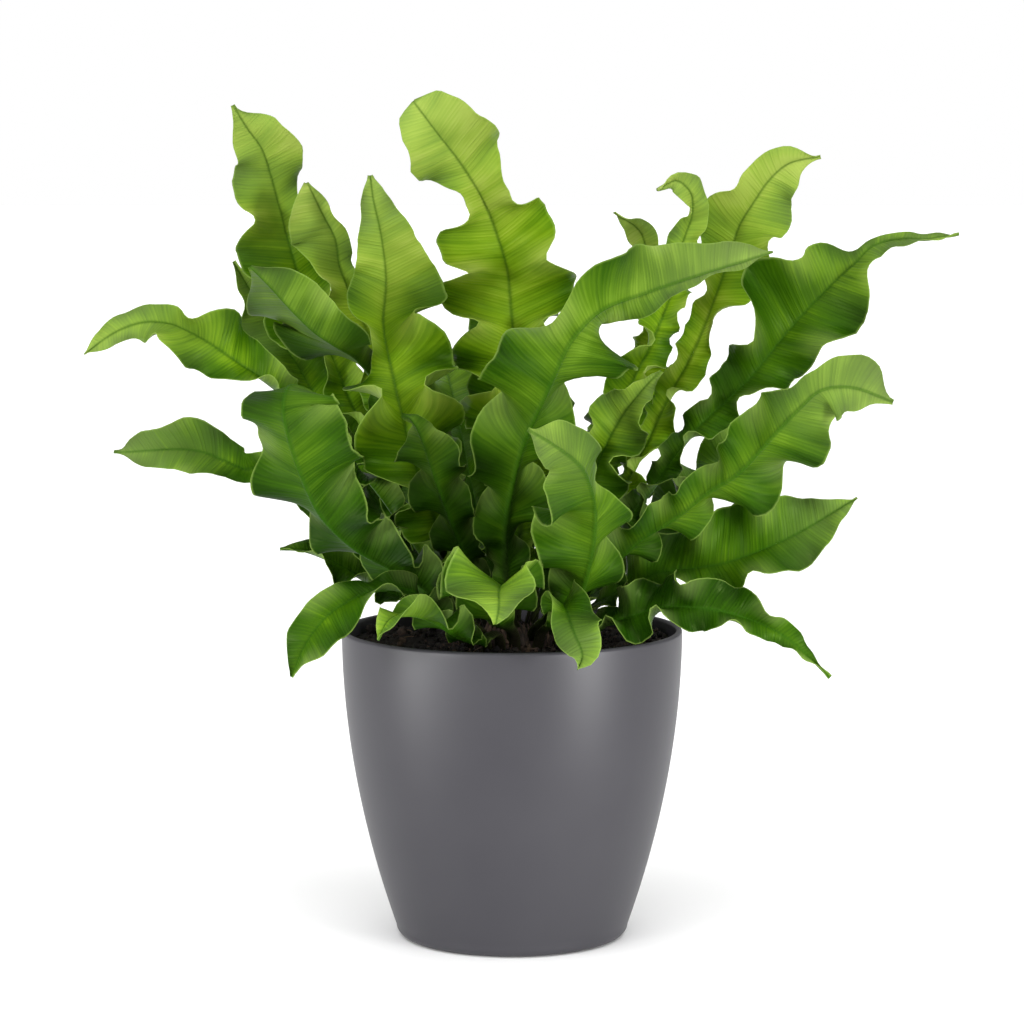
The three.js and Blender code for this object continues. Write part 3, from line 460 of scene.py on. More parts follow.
# Noise that is drawn out along the veins: how often it changes outwards and up the blade, for each metre,
# and a number that sets the two sides of the blade apart.
VEIN_STRETCH = (30.0, 1 / (VEIN_PITCH * MM), 3.7)
STREAK_STRETCH = (12.0, 150.0, 5.1)
VEIN_NOISE = dict(scale=1.0, roughness=0.6)
STREAK_NOISE = dict(scale=1.0)

# Noise over the pieces. Its scale is how often it changes in a metre.
LEAF_PATCHES = dict(scale=26.0, detail=3.0)
LEAF_GRAIN = dict(scale=1800.0, roughness=0.6)
POT_CLOUDS = dict(scale=14.0, detail=3.0)
POT_GRAIN = dict(scale=900.0, detail=3.0, roughness=0.6)
PEAT_GRAIN = dict(scale=700.0, detail=4.0, roughness=0.65)
PEAT_PATCHES = dict(scale=260.0, detail=3.0, roughness=0.6)
FLOOR_CLOUDS = dict(scale=3.0)

# Fades: a value's stretch from the first number to the second becomes the third to the fourth, or 0 to 1.
# These six shift the leaf's green along its ramp: along its length, darker towards the stalk partly by its
# own colour and partly as painted shade deep in the rosette, in patches, streaks and veins, and from the
# troughs of its waves to their crests, as painted shade in the troughs and painted light on the crests.
STALK_AGE_AND_SHADE = (0.12, 0.75, -0.30, -0.03)
TIP_AGE = (0.75, 1.0, 0.0, 0.14)
PATCH_AGE = (0.3, 0.7, -0.17, 0.15)
STREAK_AGE = (0.3, 0.7, -0.08, 0.08)
VEIN_AGE = (0.25, 0.75, -0.09, 0.07)
CREST_PAINTED_SHADE = (0.0, 1.0, -0.28, 0.14)

# The crests tell more towards the margin. The tip pales by its place and by the frond's tone, the crests
# carry a painted pale sheen, and dark stains run up from the stalk.
OUTWARDS = (0.2, 0.9)
TIP_PLACE = (0.72, 1.0)
TIP_TONE = (0.38, 0.56, 0.02, 0.36)
CREST_PAINTED_SHEEN = (0.5, 1.0, 0.0, 0.2)
RIB_LINE = (0.05, 0.9)
MARGIN_LINE = (0.955, 0.99, 0.0, 0.42)
STALK_STAIN = (0.0, 0.5, 0.93, 0.0)
RIB_STAIN = (0.1, 0.35, 0.85, 0.0)
UNDER_PALENESS = 0.5
RIB_DARKNESS = 0.6

# Gloss and relief. A relief has the depth of its bumps, in metres, and its strength.
LEAF_DULLNESS = (0.3, 0.7, 0.34, 0.44)
UNDER_DULLNESS = 0.1
LEAF_IOR = 1.38
LEAF_GLOSS = 0.24
GLOW_SHARE = 0.3
TRANSLUCENCY = 0.3
GRAIN_RELIEF = (0.00002, 0.6)
STREAK_RELIEF = (0.0012, 0.8)
VEIN_RELIEF = (0.0003, 0.9)
POT_DULLNESS = (0.3, 0.7, 0.40, 0.44)
POT_RELIEF = (0.00003, 0.5)
POT_IOR = 1.34
PEAT_VARIETY = (0.3, 0.7, -0.2, 0.2)
PEAT_RELIEF = (0.0004, 0.9)
PEAT_DULLNESS = 0.92
PEAT_IOR = 1.45
FLOOR_DULLNESS = 0.9
FLOOR_IOR = 1.1

# The studio, in metres. The lens and its sensor are in millimetres, and angles are in degrees. The
# surround has one strength for the camera and a lower one as a light.
CAMERA_PLACE = (0, -1.2867, 0.3124)
CAMERA_LENS = 110.99
CAMERA_SENSOR = 36.0
CAMERA_TILT = 6.1
FLOOR_REACH = 30.0
FLOOR_DROP = -0.0003
SURROUND_SEEN = 1.0
SURROUND_LIGHT = 0.39
SOFTBOXES = [
    dict(name="left_strip", azimuth=-46, elevation=4, spread=13, strength=2.0),
    dict(name="right_strip", azimuth=46, elevation=4, spread=13, strength=2.4),
    dict(name="overhead_softbox", azimuth=-4, elevation=62, spread=80, strength=2.7),
    dict(name="back_softbox", azimuth=172, elevation=55, spread=60, strength=0.9),
]
LOW_STRIPS = [
    dict(name="low_left_strip", place=(-0.42, -0.22, 0.08), power=0.23),
    dict(name="low_right_strip", place=(0.36, -0.31, 0.08), power=0.25),
]
LOW_STRIP_SIZE = (0.18, 0.16)
LOW_STRIP_AIM = (0, -0.04, 0.10)
LOW_STRIP_CONE = 70


def smooth_step(x, low, high):
    """0 below low, 1 above high, and a smooth S between them."""
    t = np.clip((x - low) / (high - low), 0, 1)
    return t * t * (3 - 2 * t)


def mix(a, b, share):
    """The value that lies at a share of the way from a to b."""
    return a + (b - a) * share


def quarter_sine(share):
    """The sine that climbs from 0 to 1 while share does."""
    return np.sin(math.pi / 2 * share)


def stations(values, s):
    """Values at s, from 0 to 1, in a list of evenly spaced values, with a smooth step between neighbours."""
    values = np.asarray(values, float)
    place = s * (len(values) - 1)
    i = np.clip(place.astype(int), 0, len(values) - 2)
    return mix(values[i], values[i + 1], smooth_step(place - i, 0, 1))


def read_columns(table, places, at):
    """Rows of a table whose rows lie at the given places, read at other places, by straight lines."""
    return np.stack([np.interp(at, places, column) for column in table.T], axis=-1)


def unit(v):
    """Vectors at length 1."""
    return v / np.linalg.norm(v, axis=-1, keepdims=True)


def smooth_line(points, steps=200):
    """A centripetal Catmull-Rom curve through the points: on each span a cubic whose end slopes weigh the
    neighbouring spans by the square root of their lengths. Its ends run on as the first and last spans do."""
    p = np.array(points, float)
    p = np.vstack([2 * p[0] - p[1], p, 2 * p[-1] - p[-2]])
    spans = []
    t = (np.arange(steps) / steps)[:, None]
    for before, start, end, after in zip(p, p[1:], p[2:], p[3:]):
        sides = ((before, start), (start, end), (end, after))
        d0, d1, d2 = (np.sqrt(np.linalg.norm(b - a)) for a, b in sides)
        slope = (start - before) / d0 - (end - before) / (d0 + d1) + (end - start) / d1
        next_slope = (end - start) / d1 - (after - start) / (d1 + d2) + (after - end) / d2
        a, b = slope * d1, next_slope * d1
        square = 3 * (end - start) - 2 * a - b
        cube = 2 * (start - end) + a + b
        spans.append(start + a * t + square * t**2 + cube * t**3)
    return np.vstack(spans + [p[-2]])


def evenly(line, count):
    """A line's points at equal steps of length, and its whole length."""
    steps = np.linalg.norm(np.diff(line, axis=0), axis=1)
    reached = np.concatenate([[0], np.cumsum(steps)])
    length = reached[-1]
    return read_columns(line, reached, np.linspace(0, length, count)), length


def midrib(frond):
    """The midrib's points, the way along it and the way across it, and its length. The way across starts
    level and square to the lean, and is carried along without twisting."""
    around = math.radians(frond["around"])
    lean = math.radians(frond["lean"])
    outwards = np.array([math.cos(around), math.sin(around), 0])
    ring = RING_RADIUS[frond["ring"]]
    root = outwards * ring + [0, 0, ROOT_HEIGHT]
    collar = outwards * ring * COLLAR_SPREAD + [0, 0, COLLAR_HEIGHT]
    points, length = evenly(smooth_line([root, collar] + frond["path"]), MIDRIB_STEPS + 1)
    along = unit(np.gradient(points, axis=0))
    across = np.zeros_like(points)
    side = np.array([-math.sin(lean), math.cos(lean), 0])
    for i, way in enumerate(along):
        side = unit(side - (side @ way) * way)
        across[i] = side
    return points, along, across, length


def row_places(length):
    """Where a frond's rows lie, from 0 to 1, as a column. They are closer together near the stalk, where
    the waves are short."""
    count = int(length / ROW_STEP)
    return np.linspace(0, 1, count + 1)[:, None] ** (1 / ROW_STRETCH)


def half_width(frond, side, s, opened):
    """One side's half width at each row: the stalk's, which gives way to the blade's own as it opens. The
    tip is rounded off by a quarter of a sine."""
    narrowing = quarter_sine(np.clip((1 - s) / frond["tip"], 0, 1)) ** TIP_ROUNDNESS
    values = stations(frond.get(side, frond.get("half")), s)
    return np.maximum(mix(STALK_HALF, values, opened) * narrowing, LEAST_HALF)


def column_places(rib_half, half):
    """Where one side's columns lie, from 0 at the midrib to 1 at the margin: evenly over the midrib's band,
    and then closer and closer together, by the top of a sine."""
    band = np.minimum(RIB_BAND * rib_half / half, RIB_BAND_MOST)
    near = band * np.arange(RIB_COLUMNS + 1) / RIB_COLUMNS
    out = quarter_sine(np.arange(1, SIDE_COLUMNS + 1) / SIDE_COLUMNS) ** MARGIN_CROWDING
    return np.hstack([near, band + (1 - band) * out])


def wave_phase(frond, s, side, length):
    """The phase of the margin's wave. It runs on more slowly towards the tip, and is a quarter turn, where
    a sine peaks, at the crest that each side is given."""
    stalk = STALK_LENGTH / length

    def stretched(x):
        return np.clip((x - stalk) / (1 - stalk), 0, 1) ** WAVE_STRETCH

    left, right = (stretched(crest) for crest in frond["crests"])
    return TAU * (frond["waves"] * (stretched(s) - np.where(side < 0, left, right)) + 0.25)


def folds(frond, s, opened, phase):
    """The angle at which the blade leaves the midrib, and the angle that it bends on by as far as the margin.
    The crimp swings with the wave, and the first angle takes the pleat's share of it."""
    swing = np.sin(phase) + SECOND_WAVE * np.sin(SECOND_PITCH * phase)
    bend = np.radians(stations(frond["crimp"], s)) * opened * swing
    bend = np.where(np.abs(bend) < LEAST_BEND, LEAST_BEND, bend)
    return FOLD * opened + PLEAT * bend, (1 - PLEAT) * bend


def frames(frond, s, points, along, across):
    """At each row, the midrib's point, the way along it, and the blade's ways across and up, both turned
    about the midrib by the roll."""
    places = np.linspace(0, 1, len(points))
    point, way, level = (read_columns(table, places, s) for table in (points, along, across))
    way, level = unit(way), unit(level)
    face = np.cross(way, level)
    roll = np.radians(stations(frond.get("roll", NO_ROLL), s))[..., None]
    return point, way, level * np.cos(roll) + face * np.sin(roll), face * np.cos(roll) - level * np.sin(roll)


def half_thicknesses(m, s, opened, ridge):
    """How far the upper and the lower face stand off the middle surface: half the thickness of the round
    stalk, or of the blade, which thins towards its margin, with the midrib's groove above and its ridge
    below."""
    blade_thickness = mix(BLADE_THICKNESS, MARGIN_THICKNESS, m**3)
    stalk_thickness = STALK_THICKNESS * np.sqrt(np.clip(1 - m**2, STALK_EDGE, 1))
    half = mix(stalk_thickness, blade_thickness, opened) / 2
    fade = mix(1, RIB_TIP_HEIGHT, s)
    return half - RIB_GROOVE * ridge * fade * opened, half + RIB_RIDGE * ridge * fade * opened


def blade(frond, index):
    """The middle surface of a frond as a grid, with what its finish needs at each point.

    Rows run along the midrib and columns across. s is the share of the way from root to tip and m from
    midrib to margin, and y and x are the same in millimetres. Each side of a row is a circular arc. The
    crimp angle swings up and down along the margin as a wave: the blade leaves the midrib at the fold
    angle and a share of the crimp, the pleat, and bends on by the rest of it. Small sums of sines make the
    margin uneven, ruffle it, most where it is crimped most, and pucker the blade between its veins."""
    points, along, across, length = midrib(frond)
    s = row_places(length)
    y = s * length
    opened = smooth_step(y, PLAIN_STALK, PLAIN_STALK + WIDENING)
    rib_half = RIB_HALF * mix(1, RIB_TIP_WIDTH, s)
    left, right = (half_width(frond, side, s, opened) for side in ("left", "right"))
    m = np.hstack([column_places(rib_half, left)[:, :0:-1], column_places(rib_half, right)])
    one_side = np.ones(RIB_COLUMNS + SIDE_COLUMNS)
    side = np.concatenate([-one_side, [0], one_side])
    half = np.where(side < 0, left, right)
    x = side * m * half

    turns = np.random.default_rng(index + BLADE_SEED).uniform(0, TAU, 6)
    nick_turns, pucker_turns, ruffle_turn = turns[:2], turns[2:5], turns[5]
    nicks = sum(height * np.sin(y / pitch + side * turn) for (height, pitch), turn in zip(NICKS, nick_turns))
    wide = half * (1 + NICK_SHARE * opened * nicks * m**2)
    rounded = FOLD_SOFTNESS * rib_half / half
    soft = (np.sqrt(m**2 + rounded**2) - rounded) / (np.sqrt(1 + rounded**2) - rounded)
    phase = wave_phase(frond, s, side, length)
    fold, bend = folds(frond, s, opened, phase)
    reach = wide * (np.sin(fold + bend * m) - np.sin(fold)) / bend
    rise = wide * (np.cos(fold) - np.cos(fold + bend * soft)) / bend
    point, way, level, face = frames(frond, s, points, along, across)
    grid = (point + level * (side * reach)[..., None] + face * rise[..., None]
            + way * (SWEEP * half * m)[..., None])

    normal = unit(np.cross(np.gradient(grid, axis=0), np.gradient(grid, axis=1)))
    puckers = sum(height * np.sin(y / pitch + x / cross_pitch + turn)
                  for (height, pitch, cross_pitch), turn in zip(PUCKERS, pucker_turns))
    curly = smooth_step(stations(frond["crimp"], s), *CURL_RANGE)
    ruffle = (RUFFLE_HEIGHT + CURL_HEIGHT * curly) * np.sin(RUFFLE_PITCH * phase + ruffle_turn)
    grid += normal * ((puckers * m * (PUCKER_END - m) + ruffle * m**3) * opened)[..., None]

    ridge = np.exp(-(np.abs(x) / rib_half) ** 2)
    upper, lower = half_thicknesses(m, s, opened, ridge)
    facts = dict(along=s, edge=m, rib=ridge, opened=opened, crest=0.5 + 0.5 * np.sin(phase))
    facts = {fact: np.broadcast_to(values, m.shape) for fact, values in facts.items()}
    blade_map = np.stack([x * MM, np.broadcast_to(y, m.shape) * MM + FLAT_MAP_STEP * index], axis=-1)
    return grid, normal, upper, lower, blade_map, facts


def grid_quads(rows, columns, start=0, flipped=False):
    """The quads of a grid of vertices that are numbered row by row."""
    i = (start + np.arange(rows - 1)[:, None] * columns + np.arange(columns - 1)).ravel()
    quads = np.stack([i, i + columns, i + columns + 1, i + 1], axis=1)
    return quads[:, ::-1] if flipped else quads


def rim_quads(rows, columns):
    """The quads that join a grid's outline to the outline of a second grid numbered after it."""
    top = np.arange(columns)
    right = np.arange(rows) * columns + columns - 1
    bottom = rows * columns - 1 - np.arange(columns)
    left = (rows - 1 - np.arange(rows)) * columns
    loop = np.concatenate([top[:-1], right[:-1], bottom[:-1], left[:-1]])
    following = np.roll(loop, -1)
    behind = rows * columns
    return np.stack([loop, following, following + behind, loop + behind], axis=1)


def shell_quads(rows, columns):
    """The faces of a closed shell: an upper grid, a lower one numbered after it, and the rim of both."""
    lower = grid_quads(rows, columns, start=rows * columns, flipped=True)
    return np.vstack([grid_quads(rows, columns), lower, rim_quads(rows, columns)])


def tube_quads(rings, sides):
    """The quads between rings of vertices that are numbered ring by ring, from the first ring to the last."""
    here = np.arange(sides)
    ahead = np.roll(here, -1)
    ring = (np.arange(rings - 1) * sides)[:, None]
    corners = [ring + here, ring + ahead, ring + sides + ahead, ring + sides + here]
    return np.stack(corners, axis=-1).reshape(-1, 4)


def copied(faces, count, vertices):
    """The faces of many copies of a small piece, each of which has this many vertices."""
    return (faces + vertices * np.arange(count)[:, None, None]).reshape(-1, faces.shape[1])


def add_object(name, data):
    """An object of the scene that holds a mesh, a lamp or a camera."""
    made = bpy.data.objects.new(name, data)
    bpy.context.scene.collection.objects.link(made)
    return made


def mesh_piece(name, vertices, faces, material, stands_for=None):
    """A piece whose mesh has these vertices, in millimetres, and these faces: arrays of quads or triangles.
    It is shaded smooth, rides on the one body, and may stand for a CAD node."""
    mesh = bpy.data.meshes.new(name)
    mesh.vertices.add(len(vertices))
    mesh.vertices.foreach_set("co", (vertices * MM).astype(np.float32).ravel())
    corners = np.concatenate([block.ravel() for block in faces])
    sizes = np.concatenate([np.full(len(block), block.shape[1]) for block in faces])
    mesh.loops.add(len(corners))
    mesh.loops.foreach_set("vertex_index", corners.astype(np.int32))
    mesh.polygons.add(len(sizes))
    mesh.polygons.foreach_set("loop_start", (np.cumsum(sizes) - sizes).astype(np.int32))
    mesh.update(calc_edges=True)
    mesh.shade_smooth()
    mesh.materials.append(material)
    piece = add_object(name, mesh)
    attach(piece, "root")
    if stands_for:
        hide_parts(stands_for)
    return piece


def flat_map(piece, name, places):
    """Gives each vertex of a piece its place on a flat map, which its material reads."""
    corners = np.empty(len(piece.data.loops), np.int32)
    piece.data.loops.foreach_get("vertex_index", corners)
    layer = piece.data.uv_layers.new(name=name)
    layer.data.foreach_set("uv", places[corners].astype(np.float32).ravel())


def note(piece, name, values):
    """Gives each vertex of a piece a number that its material reads."""
    attribute = piece.data.attributes.new(name, "FLOAT", "POINT")
    attribute.data.foreach_set("value", np.asarray(values, np.float32).ravel())


def around_axis(radius, height, angles):
    """Points at a radius and a height, each a number or an array, at the given angles about Z."""
    radius, height, angles = np.broadcast_arrays(radius, height, angles)
    return np.stack([radius * np.cos(angles), radius * np.sin(angles), height], axis=-1)


def full_turn(sides):
    """Evenly spaced angles once round."""
    return np.arange(sides) * TAU / sides


def capped(rings, low_pole, high_pole):
    """A closed surface from rings of points, given as rows from the low pole to the high one, with a fan
    of triangles from each pole to the ring next to it."""
    count, sides = rings.shape[:2]
    vertices = np.vstack([rings.reshape(-1, 3), low_pole, high_pole])
    here = np.arange(sides)
    ahead = np.roll(here, -1)
    top = (count - 1) * sides
    low, high = np.full(sides, count * sides), np.full(sides, count * sides + 1)
    low_fan = np.stack([ahead, here, low], axis=1)
    high_fan = np.stack([top + here, top + ahead, high], axis=1)
    return vertices, [tube_quads(count, sides), low_fan, high_fan]


def unevenness(x, y, count, shortest, longest, seed):
    """Gentle unevenness over a plane: a sum of sines that run in seeded random directions, the long ones
    higher than the short ones, scaled to about -1 to 1."""
    chance = np.random.default_rng(seed)
    total = np.zeros_like(x)
    weight = 0
    for _ in range(count):
        length = math.exp(chance.uniform(math.log(shortest), math.log(longest)))
        angle = chance.uniform(0, TAU)
        way = x * math.cos(angle) + y * math.sin(angle)
        total += length * np.sin(TAU * way / length + chance.uniform(0, TAU))
        weight += length**2
    return total / math.sqrt(weight)


def build_leaf(frond, index, material):
    """One frond: its upper and lower faces lie to either side of the blade's middle surface, and a rim
    joins them all round."""
    grid, normal, upper, lower, blade_map, facts = blade(frond, index)
    top = (grid + normal * upper[..., None]).reshape(-1, 3)
    bottom = (grid - normal * lower[..., None]).reshape(-1, 3)
    faces = [shell_quads(*grid.shape[:2])]
    name = frond["name"].replace("frond", "leaf")
    leaf = mesh_piece(name, np.vstack([top, bottom]), faces, material, frond["name"])
    flat_map(leaf, "blade", np.tile(blade_map.reshape(-1, 2), (2, 1)))
    note(leaf, "tone", np.full(2 * len(top), frond["tone"]))
    note(leaf, "under", np.repeat([0, 1], len(top)))
    for fact, values in facts.items():
        note(leaf, fact, np.tile(values.ravel(), 2))


def pot_radius(z):
    """The pot's outer radius at a height: wide at the rim, drawn in towards the base by a power curve."""
    return RIM_RADIUS - POT_TAPER * (1 - z / POT_HEIGHT) ** POT_TAPER_POWER


def build_pot(material):
    """The pot's profile turned about Z: a flat base, a rounded corner, the drawn-in wall, a half-round
    lip, and the inside down to the floor."""
    corner = np.linspace(0, math.pi / 2, POT_CORNER_RINGS)
    foot = pot_radius(POT_CORNER) - POT_CORNER
    base = np.stack([foot + POT_CORNER * np.sin(corner), POT_CORNER * (1 - np.cos(corner))], axis=1)
    lip_radius = POT_WALL / 2
    shoulder = POT_HEIGHT - lip_radius
    z = np.linspace(POT_CORNER, shoulder, POT_OUTSIDE_RINGS)[1:]
    outside = np.stack([pot_radius(z), z], axis=1)
    turn = np.linspace(0, math.pi, POT_LIP_RINGS)[1:]
    middle = pot_radius(shoulder) - lip_radius
    lip = np.stack([middle + lip_radius * np.cos(turn), shoulder + lip_radius * np.sin(turn)], axis=1)
    z = np.linspace(shoulder, POT_FLOOR, POT_INSIDE_RINGS)[1:]
    inside = np.stack([pot_radius(z) - POT_WALL, z], axis=1)
    profile = np.vstack([base, outside, lip, inside])
    rings = around_axis(profile[:, :1], profile[:, 1:], full_turn(POT_SIDES))
    vertices, faces = capped(rings, [0, 0, 0], [0, 0, POT_FLOOR])
    mesh_piece("cover_pot", vertices, faces, material, "pot")


def soil_height(x, y):
    """The soil's top: it rises gently from the wall to the crown, with low heaps against the rim and an
    uneven, crumbly surface."""
    share = np.clip(np.hypot(x, y) / SOIL_RADIUS, 0, 1)
    height = mix(SOIL_CENTRE, SOIL_EDGE, share)
    for heap_x, heap_y, spread, rise in SOIL_HEAPS:
        height = height + rise * np.exp(-((x - heap_x) ** 2 + (y - heap_y) ** 2) / spread**2)
    height = height + SOIL_SWELL_HEIGHT * unevenness(x, y, **SOIL_SWELLS)
    return height + SOIL_GRIT_HEIGHT * unevenness(x, y, **SOIL_GRIT)


def build_soil(material):
    """The soil: a flat bottom on the pot's floor, sides along its wall, and the uneven top, as rings."""
    angles = full_turn(SOIL_SIDES)
    wall_gap = POT_WALL + SOIL_WALL_GAP
    bottom = POT_FLOOR + SOIL_FLOOR_GAP
    z = np.linspace(bottom, SOIL_EDGE - SOIL_SHOULDER, SOIL_WALL_RINGS)[:, None]
    walls = around_axis(pot_radius(z) - wall_gap, z, angles)
    edge = pot_radius(SOIL_EDGE) - wall_gap
    radius = edge * np.linspace(1, 1 / SOIL_TOP_RINGS, SOIL_TOP_RINGS)[:, None]
    top = around_axis(radius, 0.0, angles)
    top[..., 2] = soil_height(top[..., 0], top[..., 1])
    centre = [0, 0, soil_height(0.0, 0.0)]
    vertices, faces = capped(np.vstack([walls, top]), [0, 0, bottom], centre)
    mesh_piece("peat", vertices, faces, material, "potting_soil")


def scattered(chance, count, inner, wall_gap):
    """Seeded places spread evenly over the ring of soil from an inner radius to a gap from the wall."""
    radius = np.sqrt(chance.uniform(inner**2, (SOIL_RADIUS - wall_gap) ** 2, count))
    angle = chance.uniform(0, TAU, count)
    return radius * np.cos(angle), radius * np.sin(angle)


def random_turns(chance, count):
    """Seeded rotation matrices, spread evenly over all directions, from unit quaternions."""
    w, x, y, z = unit(chance.normal(size=(count, 4))).T
    rows = [[1 - 2 * (y * y + z * z), 2 * (x * y - w * z), 2 * (x * z + w * y)],
            [2 * (x * y + w * z), 1 - 2 * (x * x + z * z), 2 * (y * z - w * x)],
            [2 * (x * z - w * y), 2 * (y * z + w * x), 1 - 2 * (x * x + y * y)]]
    return np.moveaxis(np.array(rows), -1, 0)


def small_ball():
    """A ball of 24 quads: a cube whose faces are halved each way, pushed out to radius 1."""
    steps = np.linspace(-1, 1, 3)
    a, b = (v.ravel() for v in np.meshgrid(steps, steps, indexing="ij"))
    one = np.ones_like(a)
    sides = [(a, b, one), (b, a, -one), (one, a, b), (-one, b, a), (b, one, a), (a, -one, b)]
    points = np.vstack([np.stack(side, axis=1) for side in sides])
    points, which = np.unique(np.round(points, 6), axis=0, return_inverse=True)
    quads = np.vstack([grid_quads(3, 3, start=9 * side) for side in range(6)])
    return unit(points), which.ravel()[quads]


def build_crumbs(material):
    """Peat crumbs strewn over the soil: small balls, each squashed, dented and turned at random."""
    chance = np.random.default_rng(CRUMB_SEED)
    ball, quads = small_ball()
    x, y = scattered(chance, CRUMBS, CRUMB_INNER, CRUMB_WALL_GAP)
    radius = chance.gamma(*CRUMB_GAMMA, CRUMBS).clip(*CRUMB_RADII)
    shape = ball * chance.uniform(*CRUMB_DENTS, (CRUMBS, len(ball), 1))
    shape = shape * chance.uniform(*CRUMB_SQUASH, (CRUMBS, 1, 3))
    shape = np.einsum("nij,nkj->nki", random_turns(chance, CRUMBS), shape) * radius[:, None, None]
    lift = radius * chance.uniform(*CRUMB_LIFTS, CRUMBS)
    place = np.stack([x, y, soil_height(x, y) + lift], axis=-1)
    vertices = (shape + place[:, None]).reshape(-1, 3)
    faces = [copied(quads, CRUMBS, len(ball))]
    crumbs = mesh_piece("peat_crumbs", vertices, faces, material)
    note(crumbs, "shade", np.repeat(chance.uniform(0, 1, CRUMBS) ** CRUMB_SHADE_POWER, len(ball)))


def fibre_tubes(places, turns, lengths, half_widths, bows):
    """Thin tubes, pointed at both ends: each runs along a shallow parabola of the given length, whose rise
    is a quarter of its bow times its length, and is turned and moved into place."""
    count = len(places)
    t = np.linspace(-0.5, 0.5, FIBRE_SEGMENTS + 1)
    flat = np.zeros((count, len(t)))
    spine = np.stack([np.outer(lengths, t), flat, np.outer(lengths * bows, 0.25 - t**2)], axis=-1)
    thick = half_widths[:, None] * np.sqrt(np.clip(FIBRE_BLUNTNESS - 4 * t**2, 0, 1))
    angle = full_turn(FIBRE_SIDES)
    section = np.stack([np.zeros(FIBRE_SIDES), np.cos(angle), np.sin(angle)], axis=-1)
    tube = spine[:, :, None] + thick[..., None, None] * section
    tube = np.einsum("nij,nabj->nabi", turns, tube) + places[:, None, None]
    ring = np.arange(FIBRE_SIDES)
    ends = [ring[::-1], FIBRE_SIDES * FIBRE_SEGMENTS + ring]
    each = np.vstack([tube_quads(FIBRE_SEGMENTS + 1, FIBRE_SIDES), ends])
    return tube.reshape(-1, 3), copied(each, count, FIBRE_SIDES * (FIBRE_SEGMENTS + 1))


def build_fibres(material):
    """Root fibres and coir that lie on the peat, each turned about Z by its heading and tilted a little."""
    chance = np.random.default_rng(FIBRE_SEED)
    x, y = scattered(chance, FIBRES, FIBRE_INNER, FIBRE_WALL_GAP)
    lengths = chance.uniform(*FIBRE_LENGTHS, FIBRES)
    half_widths = chance.uniform(*FIBRE_HALF_WIDTHS, FIBRES)
    heading = chance.uniform(0, TAU, FIBRES)
    tilt = chance.normal(0, FIBRE_TILT, FIBRES)
    cos_h, sin_h, cos_t, sin_t = np.cos(heading), np.sin(heading), np.cos(tilt), np.sin(tilt)
    rows = [[cos_h * cos_t, -sin_h, -cos_h * sin_t],
            [sin_h * cos_t, cos_h, -sin_h * sin_t],
            [sin_t, np.zeros(FIBRES), cos_t]]
    turns = np.moveaxis(np.array(rows), -1, 0)
    places = np.stack([x, y, soil_height(x, y) + FIBRE_LIFT], axis=-1)
    bows = chance.uniform(*FIBRE_BOWS, FIBRES)
    vertices, faces = fibre_tubes(places, turns, lengths, half_widths, bows)
    fibres = mesh_piece("peat_fibres", vertices, [faces], material)
    note(fibres, "shade", np.repeat(chance.uniform(*FIBRE_SHADES, FIBRES), len(vertices) // FIBRES))


def crown_point(angle, share):
    """A point of the crown's dome. share runs from 0 at its foot to 1 at its top, and the radius falls
    off as a flattened quarter circle does."""
    radius = CROWN_RADIUS * np.cos(share * math.pi / 2) ** CROWN_FLANK
    height = mix(CROWN_FOOT, CROWN_HIGH[2], np.sin(share * math.pi / 2) ** CROWN_SHOULDER)
    return around_axis(radius, height, angle)


def build_crown(material):
    """The crown's dome, with a lumpy surface."""
    share = np.linspace(0, CROWN_LAST_RING, CROWN_RINGS)[:, None]
    dome = crown_point(full_turn(CROWN_SIDES), share)
    lumps = LUMP_HEIGHT * unevenness(dome[..., 0] + dome[..., 2], dome[..., 1], **LUMPS)
    dome = dome + unit(dome - [0, 0, CROWN_LOW[2]]) * lumps[..., None]
    vertices, faces = capped(dome, [0, 0, CROWN_FOOT], [0, 0, CROWN_HIGH[2]])
    mesh_piece("rhizome", vertices, faces, material, "crown")


def build_scales(material):
    """The papery scales that cover the crown: each is a thin pointed leaf of eight quads, folded along its
    middle, which lifts off the dome by a power of the way along it."""
    chance = np.random.default_rng(SCALE_SEED)
    angle = chance.uniform(0, TAU, SCALES)
    share = chance.uniform(*SCALE_PLACES, SCALES)
    foot = crown_point(angle, share)
    upwards = unit(crown_point(angle, np.minimum(share + SCALE_UP_STEP, 1)) - foot)
    sideways = unit(np.cross(foot * [1, 1, 0], [0, 0, 1]))
    outwards = unit(np.cross(upwards, sideways))
    length = chance.uniform(*SCALE_LENGTHS, SCALES)
    width = chance.uniform(*SCALE_HALF_WIDTHS, SCALES)
    lift = chance.uniform(*SCALE_LIFTS, SCALES) * length

    foot, upwards, sideways, outwards = (way[:, None, None] for way in (foot, upwards, sideways, outwards))
    length, width, lift = (size[:, None, None, None] for size in (length, width, lift))
    t = np.linspace(0, 1, SCALE_ROWS)[:, None, None]
    u = np.linspace(-1, 1, SCALE_COLUMNS)[:, None]
    outline = np.sin(math.pi * (SCALE_FOOT + SCALE_STRETCH * t) ** SCALE_OUTLINE_POWER)
    stand = lift * t**SCALE_LIFT_POWER - width * SCALE_FOLD * np.abs(u) * outline + SCALE_STAND
    grid = foot + upwards * length * t + sideways * width * u * outline + outwards * stand
    thick = outwards * SCALE_HALF_THICKNESS
    sheets = [(grid + side * thick).reshape(SCALES, -1, 3) for side in (1, -1)]
    vertices = np.concatenate(sheets, axis=1)
    each = vertices.shape[1]
    faces = [copied(shell_quads(SCALE_ROWS, SCALE_COLUMNS), SCALES, each)]
    scales = mesh_piece("rhizome_scales", vertices.reshape(-1, 3), faces, material)
    note(scales, "shade", np.repeat(chance.uniform(0, 1, SCALES), each))


